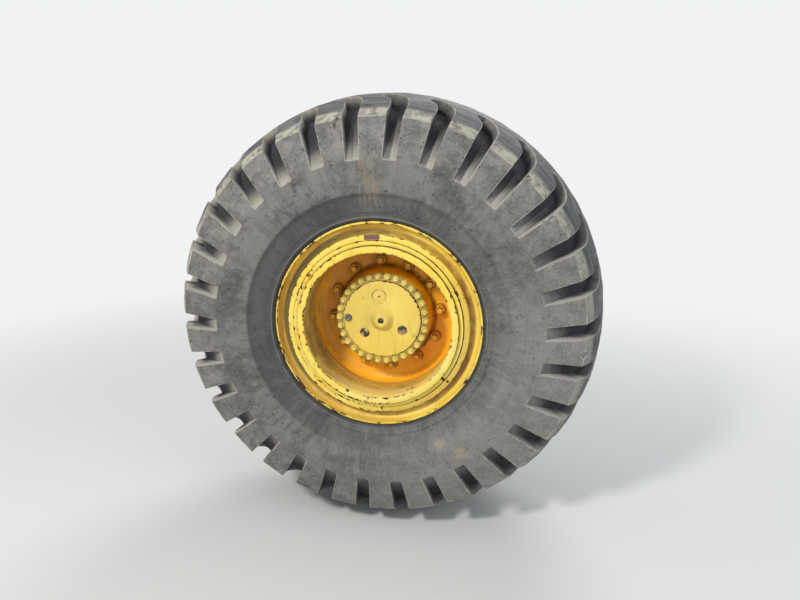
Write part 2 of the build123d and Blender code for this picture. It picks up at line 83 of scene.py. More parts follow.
def shader(kind, inputs=(), **settings):
    """A node of the last coat. An input is a socket and a value, or a socket and another node's output."""
    tree = coats[-1].node_tree
    made = tree.nodes.new("ShaderNode" + kind)
    for name, value in settings.items():
        setattr(made, name, value)
    for socket, value in inputs:
        if isinstance(value, bpy.types.NodeSocket):
            tree.links.new(value, made.inputs[socket])
        else:
            made.inputs[socket].default_value = value
    return made


def put(socket, value):
    coats[-1].node_tree.links.new(value, surface().inputs[socket])


def calc(operation, a, b=0.0):
    return shader("Math", [(0, a), (1, b)], operation=operation).outputs[0]


def times(first, *others):
    """All the values multiplied."""
    for other in others:
        first = calc("MULTIPLY", first, other)
    return first


def span(value, low, high, to_low=0.0, to_high=1.0):
    """The value's share of the way from low to high, eased at both ends."""
    inputs = [(0, value), (1, low), (2, high), (3, to_low), (4, to_high)]
    return shader("MapRange", inputs, interpolation_type="SMOOTHSTEP").outputs[0]


def clouds(place, scale, detail=5.0, rough=0.55, twist=0.0, stretch=None):
    """Cloudy noise, about 0.5 on average. Stretch scales the place first."""
    if stretch:
        place = shader("Mapping", [("Vector", place), ("Scale", stretch)]).outputs[0]
    inputs = [("Vector", place), ("Scale", scale), ("Detail", detail), ("Roughness", rough)]
    return shader("TexNoise", [*inputs, ("Distortion", twist)]).outputs[0]


def colour_mix(factor, a, b):
    a, b = ((*c, 1.0) if isinstance(c, tuple) else c for c in (a, b))
    return shader("Mix", [(0, factor), (6, a), (7, b)], data_type="RGBA").outputs[2]


def apart(place):
    """The place's three parts: across, along the axle, and up."""
    return shader("SeparateXYZ", [(0, place)]).outputs


def measured(operation, place, other=(0.0, 0.0, 0.0)):
    """One number from a place, or from two: length, distance or dot product."""
    return shader("VectorMath", [(0, place), (1, other)], operation=operation).outputs["Value"]


def wheel_place(place):
    """Radius from the wheel's axis, and place along it."""
    flat = shader("VectorMath", [(0, place), (1, (1.0, 0.0, 1.0))], operation="MULTIPLY").outputs[0]
    return measured("LENGTH", flat), apart(place)[1]


def relief(height, depth, under=None):
    """Bump of that depth in metres, laid over an earlier one."""
    inputs = [("Height", height), ("Strength", 1.0), ("Distance", depth)]
    if under is not None:
        inputs.append(("Normal", under))
    normal = shader("Bump", inputs).outputs[0]
    put("Normal", normal)
    return normal


def deselect_all():
    bpy.ops.object.select_all(action="DESELECT")


def only(piece):
    """Makes the piece the one that is selected and active."""
    deselect_all()
    piece.select_set(True)
    bpy.context.view_layer.objects.active = piece


def edit_mesh(action="SELECT", kind="VERT"):
    """Edit mode on the active piece, by corners, edges or faces, with all of them selected or none."""
    bpy.ops.object.mode_set(mode="EDIT")
    bpy.ops.mesh.select_mode(type=kind)
    bpy.ops.mesh.select_all(action=action)


def leave_mesh():
    bpy.ops.object.mode_set(mode="OBJECT")


def bevel(piece, width, segments=2):
    """Rounds the piece's sharp edges and smooths the faces between them."""
    only(piece)
    rounder = piece.modifiers.new("edges", "BEVEL")
    rounder.width = width
    rounder.segments = segments
    rounder.limit_method = "ANGLE"
    rounder.angle_limit = math.radians(30.0)
    rounder.miter_outer = "MITER_ARC"
    bpy.ops.object.modifier_apply(modifier=rounder.name)
    bpy.ops.object.shade_smooth_by_angle(angle=math.radians(32.0))


def stand_for(piece, node, body):
    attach(piece, body)
    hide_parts(node)


def softened(node, name, width, body, material, segments=2):
    """Copy of a CAD node with its faces merged and its edges rounded, that stands for the node."""
    only(frame["nodes"][node])
    bpy.ops.object.duplicate()
    piece = bpy.context.view_layer.objects.active
    piece.name = name
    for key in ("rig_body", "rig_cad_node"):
        if key in piece:
            del piece[key]
    piece.parent = None
    edit_mesh()
    bpy.ops.mesh.remove_doubles(threshold=0.00001)
    bpy.ops.mesh.dissolve_limited(angle_limit=math.radians(0.6))
    leave_mesh()
    bpy.ops.mesh.customdata_custom_splitnormals_clear()
    piece.data.materials.clear()
    piece.data.materials.append(material)
    bevel(piece, width, segments)
    stand_for(piece, node, body)


iron, place = finish("worn_iron", 0.55, 0.0, 0.4)
radius, _ = wheel_place(place)
grain = clouds(place, 260.0, 4.0, 0.6)
blotch = clouds(place, 9.0, 6.0, 0.6, 0.4)
rust = span(clouds(place, 26.0, 10.0, 0.72), 0.50, 0.66)
colour = colour_mix(span(blotch, 0.35, 0.65), (0.13, 0.12, 0.108), (0.27, 0.25, 0.22))
stain = colour_mix(span(grain, 0.35, 0.65), (0.070, 0.032, 0.017), (0.175, 0.082, 0.038))
colour = colour_mix(times(rust, 0.85), colour, stain)
grease = times(span(radius, 0.055, 0.125, 1.0, 0.0), 0.8, span(blotch, 0.42, 0.56))
put("Base Color", colour_mix(grease, colour, (0.040, 0.033, 0.026)))
put("Roughness", calc("SUBTRACT", span(rust, 0.0, 1.0, 0.48, 0.85), times(grease, 0.2)))
relief(rust, 0.0004, relief(grain, 0.0006))
softened("spindle", "spindle_casting", 0.0015, "spindle", iron)

# Brake bracket and calipers: plate bolted on the spindle's flange, and two cast calipers on its ears, in
# dusty grey paint that has gone from the corners.
grey, place = finish("grey_paint", 0.6)
dust = clouds(place, 14.0, 6.0, 0.6, 0.6)
wear = span(clouds(place, 75.0, 6.0, 0.6), 0.60, 0.66)
colour = colour_mix(span(dust, 0.35, 0.7), (0.105, 0.105, 0.10), (0.27, 0.25, 0.21))
put("Base Color", colour_mix(wear, colour, (0.15, 0.065, 0.03)))
put("Roughness", span(dust, 0.3, 0.7, 0.5, 0.8))
relief(wear, -0.0003, relief(clouds(place, 330.0, 3.0), 0.0005))
softened("caliper_bracket", "caliper_bracket_plate", 0.0012, "spindle", grey)
softened("caliper_front", "caliper_casting_front", 0.003, "spindle", grey, 3)
softened("caliper_rear", "caliper_casting_rear", 0.003, "spindle", grey, 3)

# Fasteners of the brake: forged bolts with hexagon heads, which hold the calipers on the bracket's ears and
# the brake disc on the hub. They are black from oil, with rust on the flats.
oily, place = finish("oily_steel", 0.4, 0.0, 0.6)
rust = span(clouds(place, 60.0, 7.0, 0.65), 0.46, 0.62)
put("Base Color", colour_mix(rust, (0.045, 0.04, 0.036), (0.17, 0.075, 0.03)))
put("Roughness", span(rust, 0.0, 1.0, 0.34, 0.8))
relief(clouds(place, 420.0, 3.0), 0.0003)
softened("caliper_bolts", "caliper_hex_bolts", 0.0012, "spindle", oily)
softened("brake_disc_bolts", "brake_disc_hex_bolts", 0.001, "wheel", oily)

# Brake pads: steel backs with a lining pressed on them, one pair in each caliper, close to the disc. They
# are matt and grey with their own dust.
lining, place = finish("pad_lining", 0.9, 0.0, 0.25)
speck = clouds(place, 480.0, 2.0, 0.5)
put("Base Color", colour_mix(span(speck, 0.45, 0.65), (0.035, 0.03, 0.028), (0.13, 0.11, 0.09)))
relief(speck, 0.0004)
softened("brake_pads", "brake_pad_linings", 0.0012, "spindle", lining)

# Brake disc: cast iron ring bolted on the hub's inboard face. The pads sweep it bright in fine rings, and it
# is rusty outside their track.
swept, place = finish("swept_iron", 0.35, 0.9, 0.5)
radius, along = wheel_place(place)
line = shader("CombineXYZ", [(0, radius), (1, along)]).outputs[0]
fine_rings = clouds(line, 900.0, 3.0, 0.5)
track = times(span(radius, 0.187, 0.191), span(radius, 0.2325, 0.2345, 1.0, 0.0))
rust = clouds(place, 35.0, 7.0, 0.65)
bare = times(track, span(rust, 0.6, 0.7, 1.0, 0.6))
rusty = colour_mix(rust, (0.09, 0.035, 0.015), (0.26, 0.11, 0.04))
tone = calc("ADD", times(fine_rings, 0.35), span(clouds(line, 170.0, 4.0, 0.5), 0.35, 0.65, 0.0, 0.65))
bright = colour_mix(tone, (0.20, 0.185, 0.17), (0.50, 0.485, 0.47))
bright = colour_mix(span(rust, 0.48, 0.62, 0.0, 0.45), bright, (0.21, 0.125, 0.075))
put("Base Color", colour_mix(bare, rusty, bright))
put("Metallic", times(bare, 0.9))
put("Roughness", span(bare, 0.0, 1.0, 0.85, 0.32))
relief(clouds(place, 300.0, 4.0), 0.0002, relief(fine_rings, 0.0002))
softened("brake_disc", "brake_disc_iron", 0.0012, "wheel", swept)

# Hub seal: moulded rubber lip ring, pressed in the hub's inboard end, whose lip runs on the spindle. It is
# wiped with grease and holds dust.
seal, place = finish("seal_rubber", 0.5, 0.0, 0.4)
film_tone = clouds(place, 90.0, 5.0)
put("Base Color", colour_mix(film_tone, (0.012, 0.012, 0.012), (0.07, 0.055, 0.04)))
put("Roughness", span(film_tone, 0.35, 0.65, 0.28, 0.7))
relief(clouds(place, 500.0, 2.0), 0.0002)
softened("hub_seal", "hub_seal_ring", 0.0008, "wheel", seal)

# Hub, wheel disc and rim: hub cast in iron, disc pressed from plate and welded in the rolled barrel, rings
# that are seated on it, all in yellow paint that has chipped at the edges and holds dirt and painted shade
# in the corners, with painted highlights and a painted pool of light in the barrel.
rim_plane = -0.236
deep_yellow = (0.95, 0.42, 0.006)
deep_pale = (0.95, 0.52, 0.02)
sunny_yellow = (0.84, 0.57, 0.06)
sunny_pale = (0.88, 0.68, 0.13)
bare_rust = (0.050, 0.022, 0.012)
fresh_rust = (0.30, 0.11, 0.025)
old_dirt = (0.20, 0.115, 0.045)
brown_film = (0.30, 0.145, 0.055)
# Dark of the joints between parts, used also for the painted shade in the rings round fasteners.
dark_joint_and_shade = (0.045, 0.024, 0.010)


def ring_band(value, low, high, soft):
    """One between low and high, zero outside them."""
    return times(span(value, low - soft, low), span(value, high, high + soft, 1.0, 0.0))


def sway(cloud, amount):
    """Cloudy noise as a push to either side of zero."""
    return times(calc("SUBTRACT", cloud, 0.5), amount)


def from_rim_plane(along):
    return calc("ABSOLUTE", calc("SUBTRACT", along, rim_plane))


def at_turn(radius, degrees, along=0.0):
    """Point at that radius and that many degrees from the top, clockwise as seen from outboard."""
    turn = math.radians(degrees)
    return radius * math.sin(turn), along, radius * math.cos(turn)


def lean(place, radius, aim):
    """How far the place lies towards the aim, seen from the axle: 1 in full, -1 on the other side."""
    return calc("DIVIDE", measured("DOT_PRODUCT", place, aim), radius)


def unrolled(place, radius, aside, shorter=None):
    """Place for a pattern that runs out from the axle, or along the turn where that is made shorter."""
    across, _, up = apart(place)
    across, up = calc("DIVIDE", across, radius), calc("DIVIDE", up, radius)
    if shorter:
        across, up = times(across, shorter), times(up, shorter)
    return shader("CombineXYZ", [(0, across), (1, aside), (2, up)]).outputs[0]


def from_nearest(place, circle, count, phase):
    """Distance from the nearest of a ring of fasteners, the first of them at phase degrees from the top."""
    across, _, up = apart(place)
    radius, _ = wheel_place(place)
    turn = calc("SUBTRACT", calc("ARCTAN2", across, up), math.radians(phase))
    fold = calc("PINGPONG", turn, math.pi / count)
    offset = shader("CombineXYZ", [(0, calc("SUBTRACT", radius, circle)), (1, times(fold, circle))])
    return measured("LENGTH", offset.outputs[0])


def old_paint(
    name, tone, pale, edges=(), chips=0.60, cast=0.0, soot=0.45, films=(), spots=(), rings=(), battered=None
):
    """Paint over rust. An edge is (radius, distance from the rim's centre plane), and chips gather along it.
    A film is (lowest and highest radius, lowest and highest distance, softness, strength, colour,
    the degrees from the top that it lies towards, or None); films carry dirt, and some carry painted shade,
    painted light or painted highlights. A spot is (place, size, colour), and a ring is (circle, count,
    phase, least and most distance from a fastener, strength), a dark ring round fasteners at their joints,
    with dirt and painted shade in the gaps. Battered is (degrees from the top, amount): the side on which
    the edges have lost most paint."""
    paint, place = finish(name, 0.45, 0.0, 0.5)
    radius, along = wheel_place(place)
    aside = from_rim_plane(along)
    rolled = unrolled(place, radius, calc("ADD", radius, aside), 0.15)
    where = shader("CombineXYZ", [(0, radius), (1, aside)]).outputs[0]

    def towards(facing):
        return span(lean(place, radius, at_turn(1.0, facing)), 0.0, 0.9)

    flakes = clouds(place, 120.0, 5.0, 0.6)
    dashes = clouds(rolled, 88.0, 4.0, 0.55)
    patches = clouds(place, 13.0, 4.0, 0.6)
    streak = clouds(place, 26.0, 6.0, 0.6, 1.5, (1.0, 1.0, 0.25))
    swirl = clouds(rolled, 30.0, 6.0, 0.6, 0.6)
    worn = calc("ADD", flakes, sway(patches, 0.55))
    if edges:
        nearest = measured("DISTANCE", where, (*edges[0], 0.0))
        for edge in edges[1:]:
            nearest = calc("MINIMUM", nearest, measured("DISTANCE", where, (*edge, 0.0)))
        worn = calc("SUBTRACT", worn, times(calc("MINIMUM", nearest, 0.012), 12.0))
        lifted = calc("ADD", dashes, sway(patches, 0.45))
        lifted = calc("SUBTRACT", lifted, times(nearest, 28.0))
        if battered:
            lifted = calc("ADD", lifted, times(towards(battered[0]), battered[1]))
        worn = calc("MAXIMUM", worn, calc("ADD", lifted, chips - 0.535))
    colour = colour_mix(span(clouds(place, 5.0, 5.0, 0.6, 0.5), 0.35, 0.68), tone, pale)
    colour = colour_mix(span(streak, 0.50, 0.78, 0.0, soot), colour, old_dirt)
    # Each film is laid over the colour: some are dirt, some painted shade, painted light or painted
    # highlights.
    for low, high, near, far, soft, strength, film_tone, facing in films:
        film = times(ring_band(radius, low, high, soft), ring_band(aside, near, far, soft))
        if soft > 0.002:
            film = times(film, span(swirl, 0.34, 0.62, 0.45, 1.0))
        if facing is not None:
            film = times(film, towards(facing))
        colour = colour_mix(times(film, strength), colour, film_tone)
    for circle, count, phase, least, most, strength in rings:
        ring = times(ring_band(from_nearest(place, circle, count, phase), least, most, 0.0012), strength)
        if most > circle * math.pi / count:
            ring = times(ring, ring_band(radius, circle - 0.0115, circle + 0.0105, 0.001))
        colour = colour_mix(ring, colour, dark_joint_and_shade)
    for spot_place, size, mark in spots:
        gap = calc("ADD", measured("DISTANCE", place, spot_place), sway(flakes, size * 3.2))
        colour = colour_mix(times(span(gap, size * 0.85, size * 1.1, 1.0, 0.0), 0.92), colour, mark)
    chip = span(worn, chips, chips + 0.02)
    halo = span(worn, chips - 0.05, chips + 0.02)
    colour = colour_mix(times(halo, 0.40), colour, fresh_rust)
    rust = colour_mix(span(flakes, 0.5, 0.75), bare_rust, (0.12, 0.05, 0.025))
    put("Base Color", colour_mix(chip, colour, rust))
    put("Roughness", calc("MAXIMUM", span(streak, 0.3, 0.7, 0.34, 0.62), times(chip, 0.88)))
    peel = relief(clouds(place, 500.0, 2.0), 0.00012)
    if cast:
        peel = relief(clouds(place, 230.0, 5.0, 0.6), cast, peel)
    relief(chip, -0.0005, peel)
    return paint


hub_paint = old_paint(
    "hub_yellow_paint", deep_yellow, deep_pale,
    edges=[(0.180, 0.216), (0.194, 0.112), (0.246, 0.068), (0.246, 0.092)],
    cast=0.0006,
    soot=0.3,
    films=[(0.176, 0.200, 0.100, 0.125, 0.006, 0.7, dark_joint_and_shade, None)],
)
rim_edges = [
    (0.3945, 0.322), (0.3858, 0.323), (0.344, 0.318), (0.3225, 0.320), (0.305, 0.334), (0.280, 0.333)
]
rim_films = [
    (0.3222, 0.3234, 0.300, 0.330, 0.0007, 0.95, dark_joint_and_shade, None),
    (0.3046, 0.3058, 0.300, 0.338, 0.0007, 0.95, dark_joint_and_shade, None),
    (0.3206, 0.3240, 0.300, 0.330, 0.0010, 0.97, dark_joint_and_shade, 105.0),
    (0.3245, 0.3435, 0.3105, 0.3135, 0.0010, 1.0, (0.135, 0.062, 0.048), None),
    (0.240, 0.2896, 0.0, 0.240, 0.020, 0.30, brown_film, None),
    # Brown on the barrel's left: dirt, with painted shade over it.
    (0.240, 0.2896, 0.0, 0.326, 0.004, 0.80, (0.175, 0.090, 0.045), 275.0),
    # Amber on the bead seat band's right: painted shadow of the lock ring.
    (0.3262, 0.3450, 0.290, 0.330, 0.002, 0.45, (0.45, 0.25, 0.04), 122.0),
    # Brown on the barrel's lower left: dirt, with painted shade over it.
    (0.240, 0.2896, 0.0, 0.300, 0.010, 0.40, (0.25, 0.13, 0.060), 205.0),
    # Pale patch on the barrel's lower right: a painted pool of light.
    (0.240, 0.2896, 0.235, 0.330, 0.015, 0.50, (0.92, 0.76, 0.34), 150.0),
    # Pale thin line where the barrel meets the disc: a painted highlight.
    (0.240, 0.2896, 0.114, 0.1185, 0.0015, 0.55, (0.85, 0.58, 0.20), 225.0),
]
rim_rust = (0.15, 0.048, 0.020)
barrel_paint = old_paint(
    "barrel_yellow_paint", sunny_yellow, sunny_pale,
    edges=rim_edges,
    soot=0.3,
    films=rim_films,
    battered=(235.0, 0.055),
    spots=[
        ((-0.257, -0.556, 0.185), 0.008, rim_rust),
        ((-0.286, -0.556, 0.139), 0.007, bare_rust),
        ((-0.243, -0.556, 0.204), 0.004, rim_rust),
        ((0.266, -0.554, -0.203), 0.006, bare_rust),
        ((0.233, -0.568, -0.143), 0.009, (0.10, 0.10, 0.075)),
        ((0.130, -0.520, -0.250), 0.009, bare_rust),
        ((0.112, -0.527, -0.255), 0.006, bare_rust),
        ((-0.115, -0.569, -0.256), 0.007, bare_rust),
        ((-0.037, -0.566, -0.283), 0.007, (0.10, 0.085, 0.055)),
        ((0.334, -0.545, 0.105), 0.004, bare_rust),
    ],
)
disc_paint = old_paint(
    "disc_yellow_paint", deep_yellow, deep_pale,
    edges=[(0.2887, 0.112)],
    soot=0.28,
    films=[
        (0.190, 0.202, 0.0, 0.2, 0.006, 0.75, dark_joint_and_shade, None),
        # Brown on the disc's left, by the barrel: dirt, with painted shade over it.
        (0.262, 0.2900, 0.0, 0.2, 0.010, 0.45, brown_film, 280.0),
        # Pale thin line at the disc's edge: a painted highlight.
        (0.2525, 0.2550, 0.0, 0.2, 0.0015, 0.60, (0.90, 0.62, 0.20), 215.0),
        # Darker orange on the disc's upper left: painted shade.
        (0.200, 0.2520, 0.0, 0.2, 0.010, 0.35, (0.28, 0.13, 0.01), 300.0),
    ],
    # Dark rings round the nut collars: dirt, with painted shade where the collars meet the disc.
    rings=[(0.216, 12, -5.5, 0.0198, 0.0235, 0.75)],
)
flange_paint = old_paint(
    "flange_yellow_paint", sunny_yellow, sunny_pale,
    edges=rim_edges,
    films=[
        # Grey-brown in the channel's deep ring, on the upper and lower left: dirt, with painted shade over
        # it.
        (0.340, 0.3600, 0.0, 0.4, 0.003, 0.95, (0.165, 0.110, 0.040), 318.0),
        (0.340, 0.3600, 0.0, 0.4, 0.003, 0.85, (0.185, 0.120, 0.040), 235.0),
        # Brown in the channel on the right and below: dirt, with painted shadow over it.
        (0.343, 0.3660, 0.0, 0.4, 0.003, 0.85, (0.33, 0.175, 0.030), 132.0),
        # Amber on the flange's cone, on the lower and upper left: painted shade.
        (0.3600, 0.3845, 0.0, 0.4, 0.003, 0.60, (0.48, 0.25, 0.045), 230.0),
        (0.3600, 0.3850, 0.0, 0.4, 0.003, 0.75, (0.46, 0.21, 0.04), 305.0),
        # Grey rub on the lip's right: wear.
        (0.3920, 0.3960, 0.0, 0.4, 0.0015, 0.55, (0.22, 0.18, 0.10), 110.0),
        # Darker inner channel, all round, on the right and on the left: dirt, with painted shade over it.
        (0.3400, 0.3560, 0.0, 0.4, 0.004, 0.45, (0.17, 0.085, 0.012), None),
        (0.3400, 0.3620, 0.0, 0.4, 0.004, 0.75, (0.20, 0.085, 0.012), 92.0),
        (0.3400, 0.3680, 0.0, 0.4, 0.002, 0.85, (0.105, 0.085, 0.016), 282.0),
    ],
    battered=(250.0, 0.075),
    spots=[
        ((-0.371, -0.552, 0.017), 0.007, bare_rust),
        ((-0.372, -0.552, 0.028), 0.004, bare_rust),
        ((0.345, -0.545, 0.087), 0.003, (0.16, 0.05, 0.02)),
        ((0.352, -0.545, -0.060), 0.003, (0.16, 0.05, 0.02)),
        ((0.263, -0.548, -0.232), 0.005, bare_rust),
    ],
)
softened("hub", "hub_casting", 0.0025, "wheel", hub_paint, 3)
softened("wheel_disc", "wheel_disc_plate", 0.0015, "wheel", disc_paint)
softened("rim_base", "rim_base_barrel", 0.0018, "wheel", barrel_paint)
softened("bead_seat_band", "bead_seat_band_ring", 0.0015, "wheel", barrel_paint)
softened("lock_ring", "lock_ring_bar", 0.002, "wheel", barrel_paint)
softened("flange_outer", "flange_ring_outer", 0.0015, "wheel", flange_paint)
softened("flange_inner", "flange_ring_inner", 0.0015, "wheel", flange_paint)

# Wheel studs and nuts: pressed studs through hub and disc, with forged collar nuts on them, all painted over
# with the rim. The wrench has bared the nuts' corners.
nut_circle = 0.216
nut_phase = -5.5
disc_front = -0.348
hub_flange_back = -0.304
nut_front = disc_front - 0.024
collar_front = disc_front - 0.0055
stud_end = disc_front - 0.032
nut_bore = 0.0118
corner_drop = 0.00288
fastener_paint = old_paint(
    "fastener_yellow_paint", deep_yellow, (0.90, 0.56, 0.07),
    edges=[(nut_circle, 0.136)],
    soot=0.6,
    # Dark rings on the nuts, by the stud and at the collar: dirt, with painted shade in these creases.
    rings=[
        (nut_circle, 12, nut_phase, 0.0106, 0.0128, 0.85),
        (nut_circle, 12, nut_phase, 0.0172, 0.0184, 0.6),
    ],
)


def joined(pieces, name):
    deselect_all()
    for piece in pieces:
        piece.select_set(True)
    bpy.context.view_layer.objects.active = pieces[0]
    bpy.ops.object.join()
    pieces[0].name = name
    return pieces[0]


def ring_of(parts, name, count, node, paint):
    """Copies of a fastener made at the top, turned about the wheel's axis, that stand for the node."""
    fastener = joined(parts, "fastener")
    copies = []
    for i in range(count):
        only(fastener)
        bpy.ops.object.duplicate()
        copies.append(bpy.context.view_layer.objects.active)
        copies[-1].data.transform(Matrix.Rotation(math.radians(nut_phase + 360.0 * i / count), 4, "Y"))
    bpy.data.objects.remove(fastener, do_unlink=True)
    ring = joined(copies, name)
    ring.data.materials.append(paint)
    stand_for(ring, node, "wheel")


def bar(name, sides, radius, near, far, above, turn=0.0):
    """Bar along the axle from near to far, at that height above the wheel's axis, its place in its mesh."""
    deselect_all()
    bpy.ops.mesh.primitive_cylinder_add(
        vertices=sides,
        radius=radius,
        depth=abs(far - near),
        location=(0.0, (near + far) / 2, above),
        rotation=(math.radians(90.0), math.radians(turn), 0.0),
    )
    made = bpy.context.object
    made.name = name
    bpy.ops.object.transform_apply()
    return made


def end_ring(piece, near, inset, push):
    """Insets the piece's outboard end face and pushes the inner face along the axle."""
    only(piece)
    edit_mesh("DESELECT", "FACE")
    leave_mesh()
    ends = [f for f in piece.data.polygons if f.normal.y < -0.99 and abs(f.center.y - near) < 0.0002]
    min(ends, key=lambda f: f.area).select = True
    bpy.ops.object.mode_set(mode="EDIT")
    bpy.ops.mesh.inset(thickness=inset)
    bpy.ops.transform.translate(value=(0.0, push, 0.0))
    bpy.ops.mesh.select_mode(type="VERT")
    leave_mesh()


def cut(piece, tool, operation="DIFFERENCE"):
    """Boolean of the piece with a tool, which is then deleted. The boolean leaves corners and faces in an
    order that changes from run to run, so they are sorted by distance from a place off to one side."""
    only(piece)
    boolean = piece.modifiers.new("cut", "BOOLEAN")
    boolean.operation = operation
    boolean.solver = "EXACT"
    boolean.object = tool
    bpy.ops.object.modifier_apply(modifier=boolean.name)
    bpy.data.objects.remove(tool, do_unlink=True)
    bpy.context.scene.cursor.location = (0.31, -1.17, 0.53)
    edit_mesh()
    bpy.ops.mesh.sort_elements(type="CURSOR_DISTANCE", elements={"VERT", "EDGE", "FACE"})
    leave_mesh()
    bpy.context.scene.cursor.location = (0.0, 0.0, 0.0)


def hex_head(name, flats, near, far, above, turn=0.0):
    """Hexagon bar whose outboard corners are turned off, as on a forged nut."""
    across_corners = flats / math.sqrt(3.0)
    head = bar(name, 6, across_corners, near, far, above, turn)
    blank = bar("blank", 48, across_corners * 1.02, near, far + 0.002, above)
    end_ring(blank, near, across_corners * 1.02 - flats * 0.46, 0.0)
    for corner in blank.data.vertices:
        away = math.hypot(corner.co.x, corner.co.z - above)
        if abs(corner.co.y - near) < 0.0002 and away > flats * 0.5:
            corner.co.y += corner_drop
    cut(head, blank, "INTERSECT")
    return head


nut = hex_head("nut", 0.034, nut_front, disc_front - 0.004, nut_circle, 8.0)
collar = bar("collar", 48, 0.0200, collar_front, disc_front, nut_circle)
end_ring(collar, collar_front, 0.0022, -0.0022)
for piece, edge in ((nut, 0.0007), (collar, 0.0008)):
    cut(piece, bar("hole", 40, nut_bore, disc_front - 0.030, disc_front + 0.001, nut_circle))
    bevel(piece, edge)
ring_of([nut, collar], "wheel_nut_ring", 12, "wheel_nuts", fastener_paint)
stud = bar("stud", 40, 0.0109, stud_end, hub_flange_back, nut_circle)
end_ring(stud, stud_end, 0.0035, 0.0)
end_ring(stud, stud_end, 0.0012, 0.0022)
stud_head = hex_head("stud_head", 0.032, hub_flange_back, hub_flange_back + 0.0078, nut_circle)
bevel(stud, 0.0009)
bevel(stud_head, 0.0009)
ring_of([stud, stud_head], "wheel_stud_ring", 12, "wheel_studs", fastener_paint)

# Hub cover: cast iron lid of the planetary drive, turned on its face, with a conical boss. It carries the
# ends of the three planet pins, and the sun has bleached its paint most.
plateau = -0.458
bolt_circle = 0.1686
pin_circle = 0.090
flush_pin = -7.0
cover_yellow = (0.78, 0.56, 0.085)
cover_dimples = [
    (0.111, -41.0, 0.0028), (0.151, -61.0, 0.0040), (0.148, 52.0, 0.0022), (0.128, 172.0, 0.0018)
]
cover_paint = old_paint(
    "cover_yellow_paint", cover_yellow, (0.80, 0.62, 0.14),
    edges=[(0.180, 0.216), (0.151, 0.222), (0.011, 0.248)],
    chips=0.64,
    cast=0.0005,
    soot=0.35,
    films=[
        (0.1508, 0.1542, 0.20, 0.23, 0.0008, 0.85, dark_joint_and_shade, None),
        (0.022, 0.046, 0.20, 0.26, 0.004, 0.30, (0.50, 0.33, 0.10), None),
        # Darker olive on the cover's upper left: painted shade.
        (0.0, 0.150, 0.20, 0.26, 0.020, 0.30, (0.42, 0.31, 0.10), 300.0),
    ],
    spots=[(at_turn(radius, turn, plateau), size, bare_rust) for radius, turn, size in cover_dimples],
    rings=[
        # Dark between the bolt heads: dirt, with painted shade.
        (bolt_circle, 30, nut_phase, 0.0122, 0.0300, 0.62),
        (pin_circle, 1, flush_pin, 0.0252, 0.0268, 0.80),
    ],
)
softened("hub_cover", "hub_cover_casting", 0.0018, "wheel", cover_paint, 3)

# Planet pin ends: steel caps set in the cover over the planet gears' pins. One is flush and painted over,
# with a centre mark, and two are sunk and hold oily dirt.
pin_dirt, place = finish("pin_cap_paint", 0.6)
grime = clouds(place, 42.0, 6.0, 0.65)
sunk = span(apart(place)[2], 0.02, 0.03, 1.0, 0.0)
painted = colour_mix(span(grime, 0.35, 0.65), cover_yellow, (0.70, 0.52, 0.15))
soiled = colour_mix(span(grime, 0.44, 0.60), (0.035, 0.024, 0.016), (0.60, 0.43, 0.14))
mark = at_turn(pin_circle, flush_pin, plateau)
dot = span(measured("DISTANCE", place, mark), 0.0028, 0.0042, 1.0, 0.0)
put("Base Color", colour_mix(dot, colour_mix(sunk, painted, soiled), (0.02, 0.015, 0.01)))
put("Roughness", span(grime, 0.3, 0.7, 0.42, 0.8))
relief(dot, -0.002, relief(clouds(place, 160.0, 4.0), 0.0004))
softened("planet_pin_caps", "planet_pin_ends", 0.0012, "wheel", pin_dirt)

# Cover bolts: thirty hexagon heads with forged washer faces, which hold the cover on the hub drum. They are
# painted over with the cover, and dirt and painted shade sit round each head.
cover_face = -0.452
bolt_front = cover_face - 0.008
washer_front = cover_face - 0.0030
bolt = hex_head("bolt", 0.0165, bolt_front, cover_face - 0.002, bolt_circle, 5.0)
washer = bar("washer", 40, 0.0122, washer_front, cover_face, bolt_circle)
end_ring(washer, washer_front, 0.0020, -0.0010)
end_ring(bolt, bolt_front, 0.0045, 0.0012)
bevel(bolt, 0.0010, 3)
bevel(washer, 0.0006)
bolt_paint = old_paint(
    "bolt_yellow_paint", (0.84, 0.62, 0.10), (0.88, 0.72, 0.22),
    chips=0.66,
    soot=0.5,
    rings=[
        # Dark rings on each head, at its rim and in its middle: dirt, with painted shade.
        (bolt_circle, 30, nut_phase, 0.0082, 0.0092, 0.55),
        (bolt_circle, 30, nut_phase, -0.01, 0.0018, 0.45),
    ],
)
ring_of([bolt, washer], "cover_bolt_ring", 30, "cover_bolts", bolt_paint)

# Oil level plug and boss plug: steel plugs with hexagon sockets. The level plug is bare grey steel under
# dust, with a painted highlight dot and ring, and the boss plug black with seeped oil, with a painted
# highlight dot in its socket.


def plug_steel(name, node, tone, highlight_rings, mark):
    """Steel of a plug, with painted highlights: rings of a second tone between two distances from its
    middle.
    """
    plug, place = finish(name)
    dust = clouds(place, 150.0, 5.0, 0.6)
    middle = tuple((low + high) / 2 for low, high in zip(*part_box(node)))
    out, _ = wheel_place(shader("VectorMath", [(0, place), (1, middle)], operation="SUBTRACT").outputs[0])
    for low, high in highlight_rings:
        tone = colour_mix(ring_band(out, low, high, 0.0012), tone, mark)
    put("Base Color", colour_mix(span(dust, 0.45, 0.70, 0.0, 0.5), tone, (0.24, 0.215, 0.165)))
    put("Roughness", span(dust, 0.3, 0.7, 0.38, 0.75))
    relief(clouds(place, 420.0, 3.0), 0.0003)
    return plug


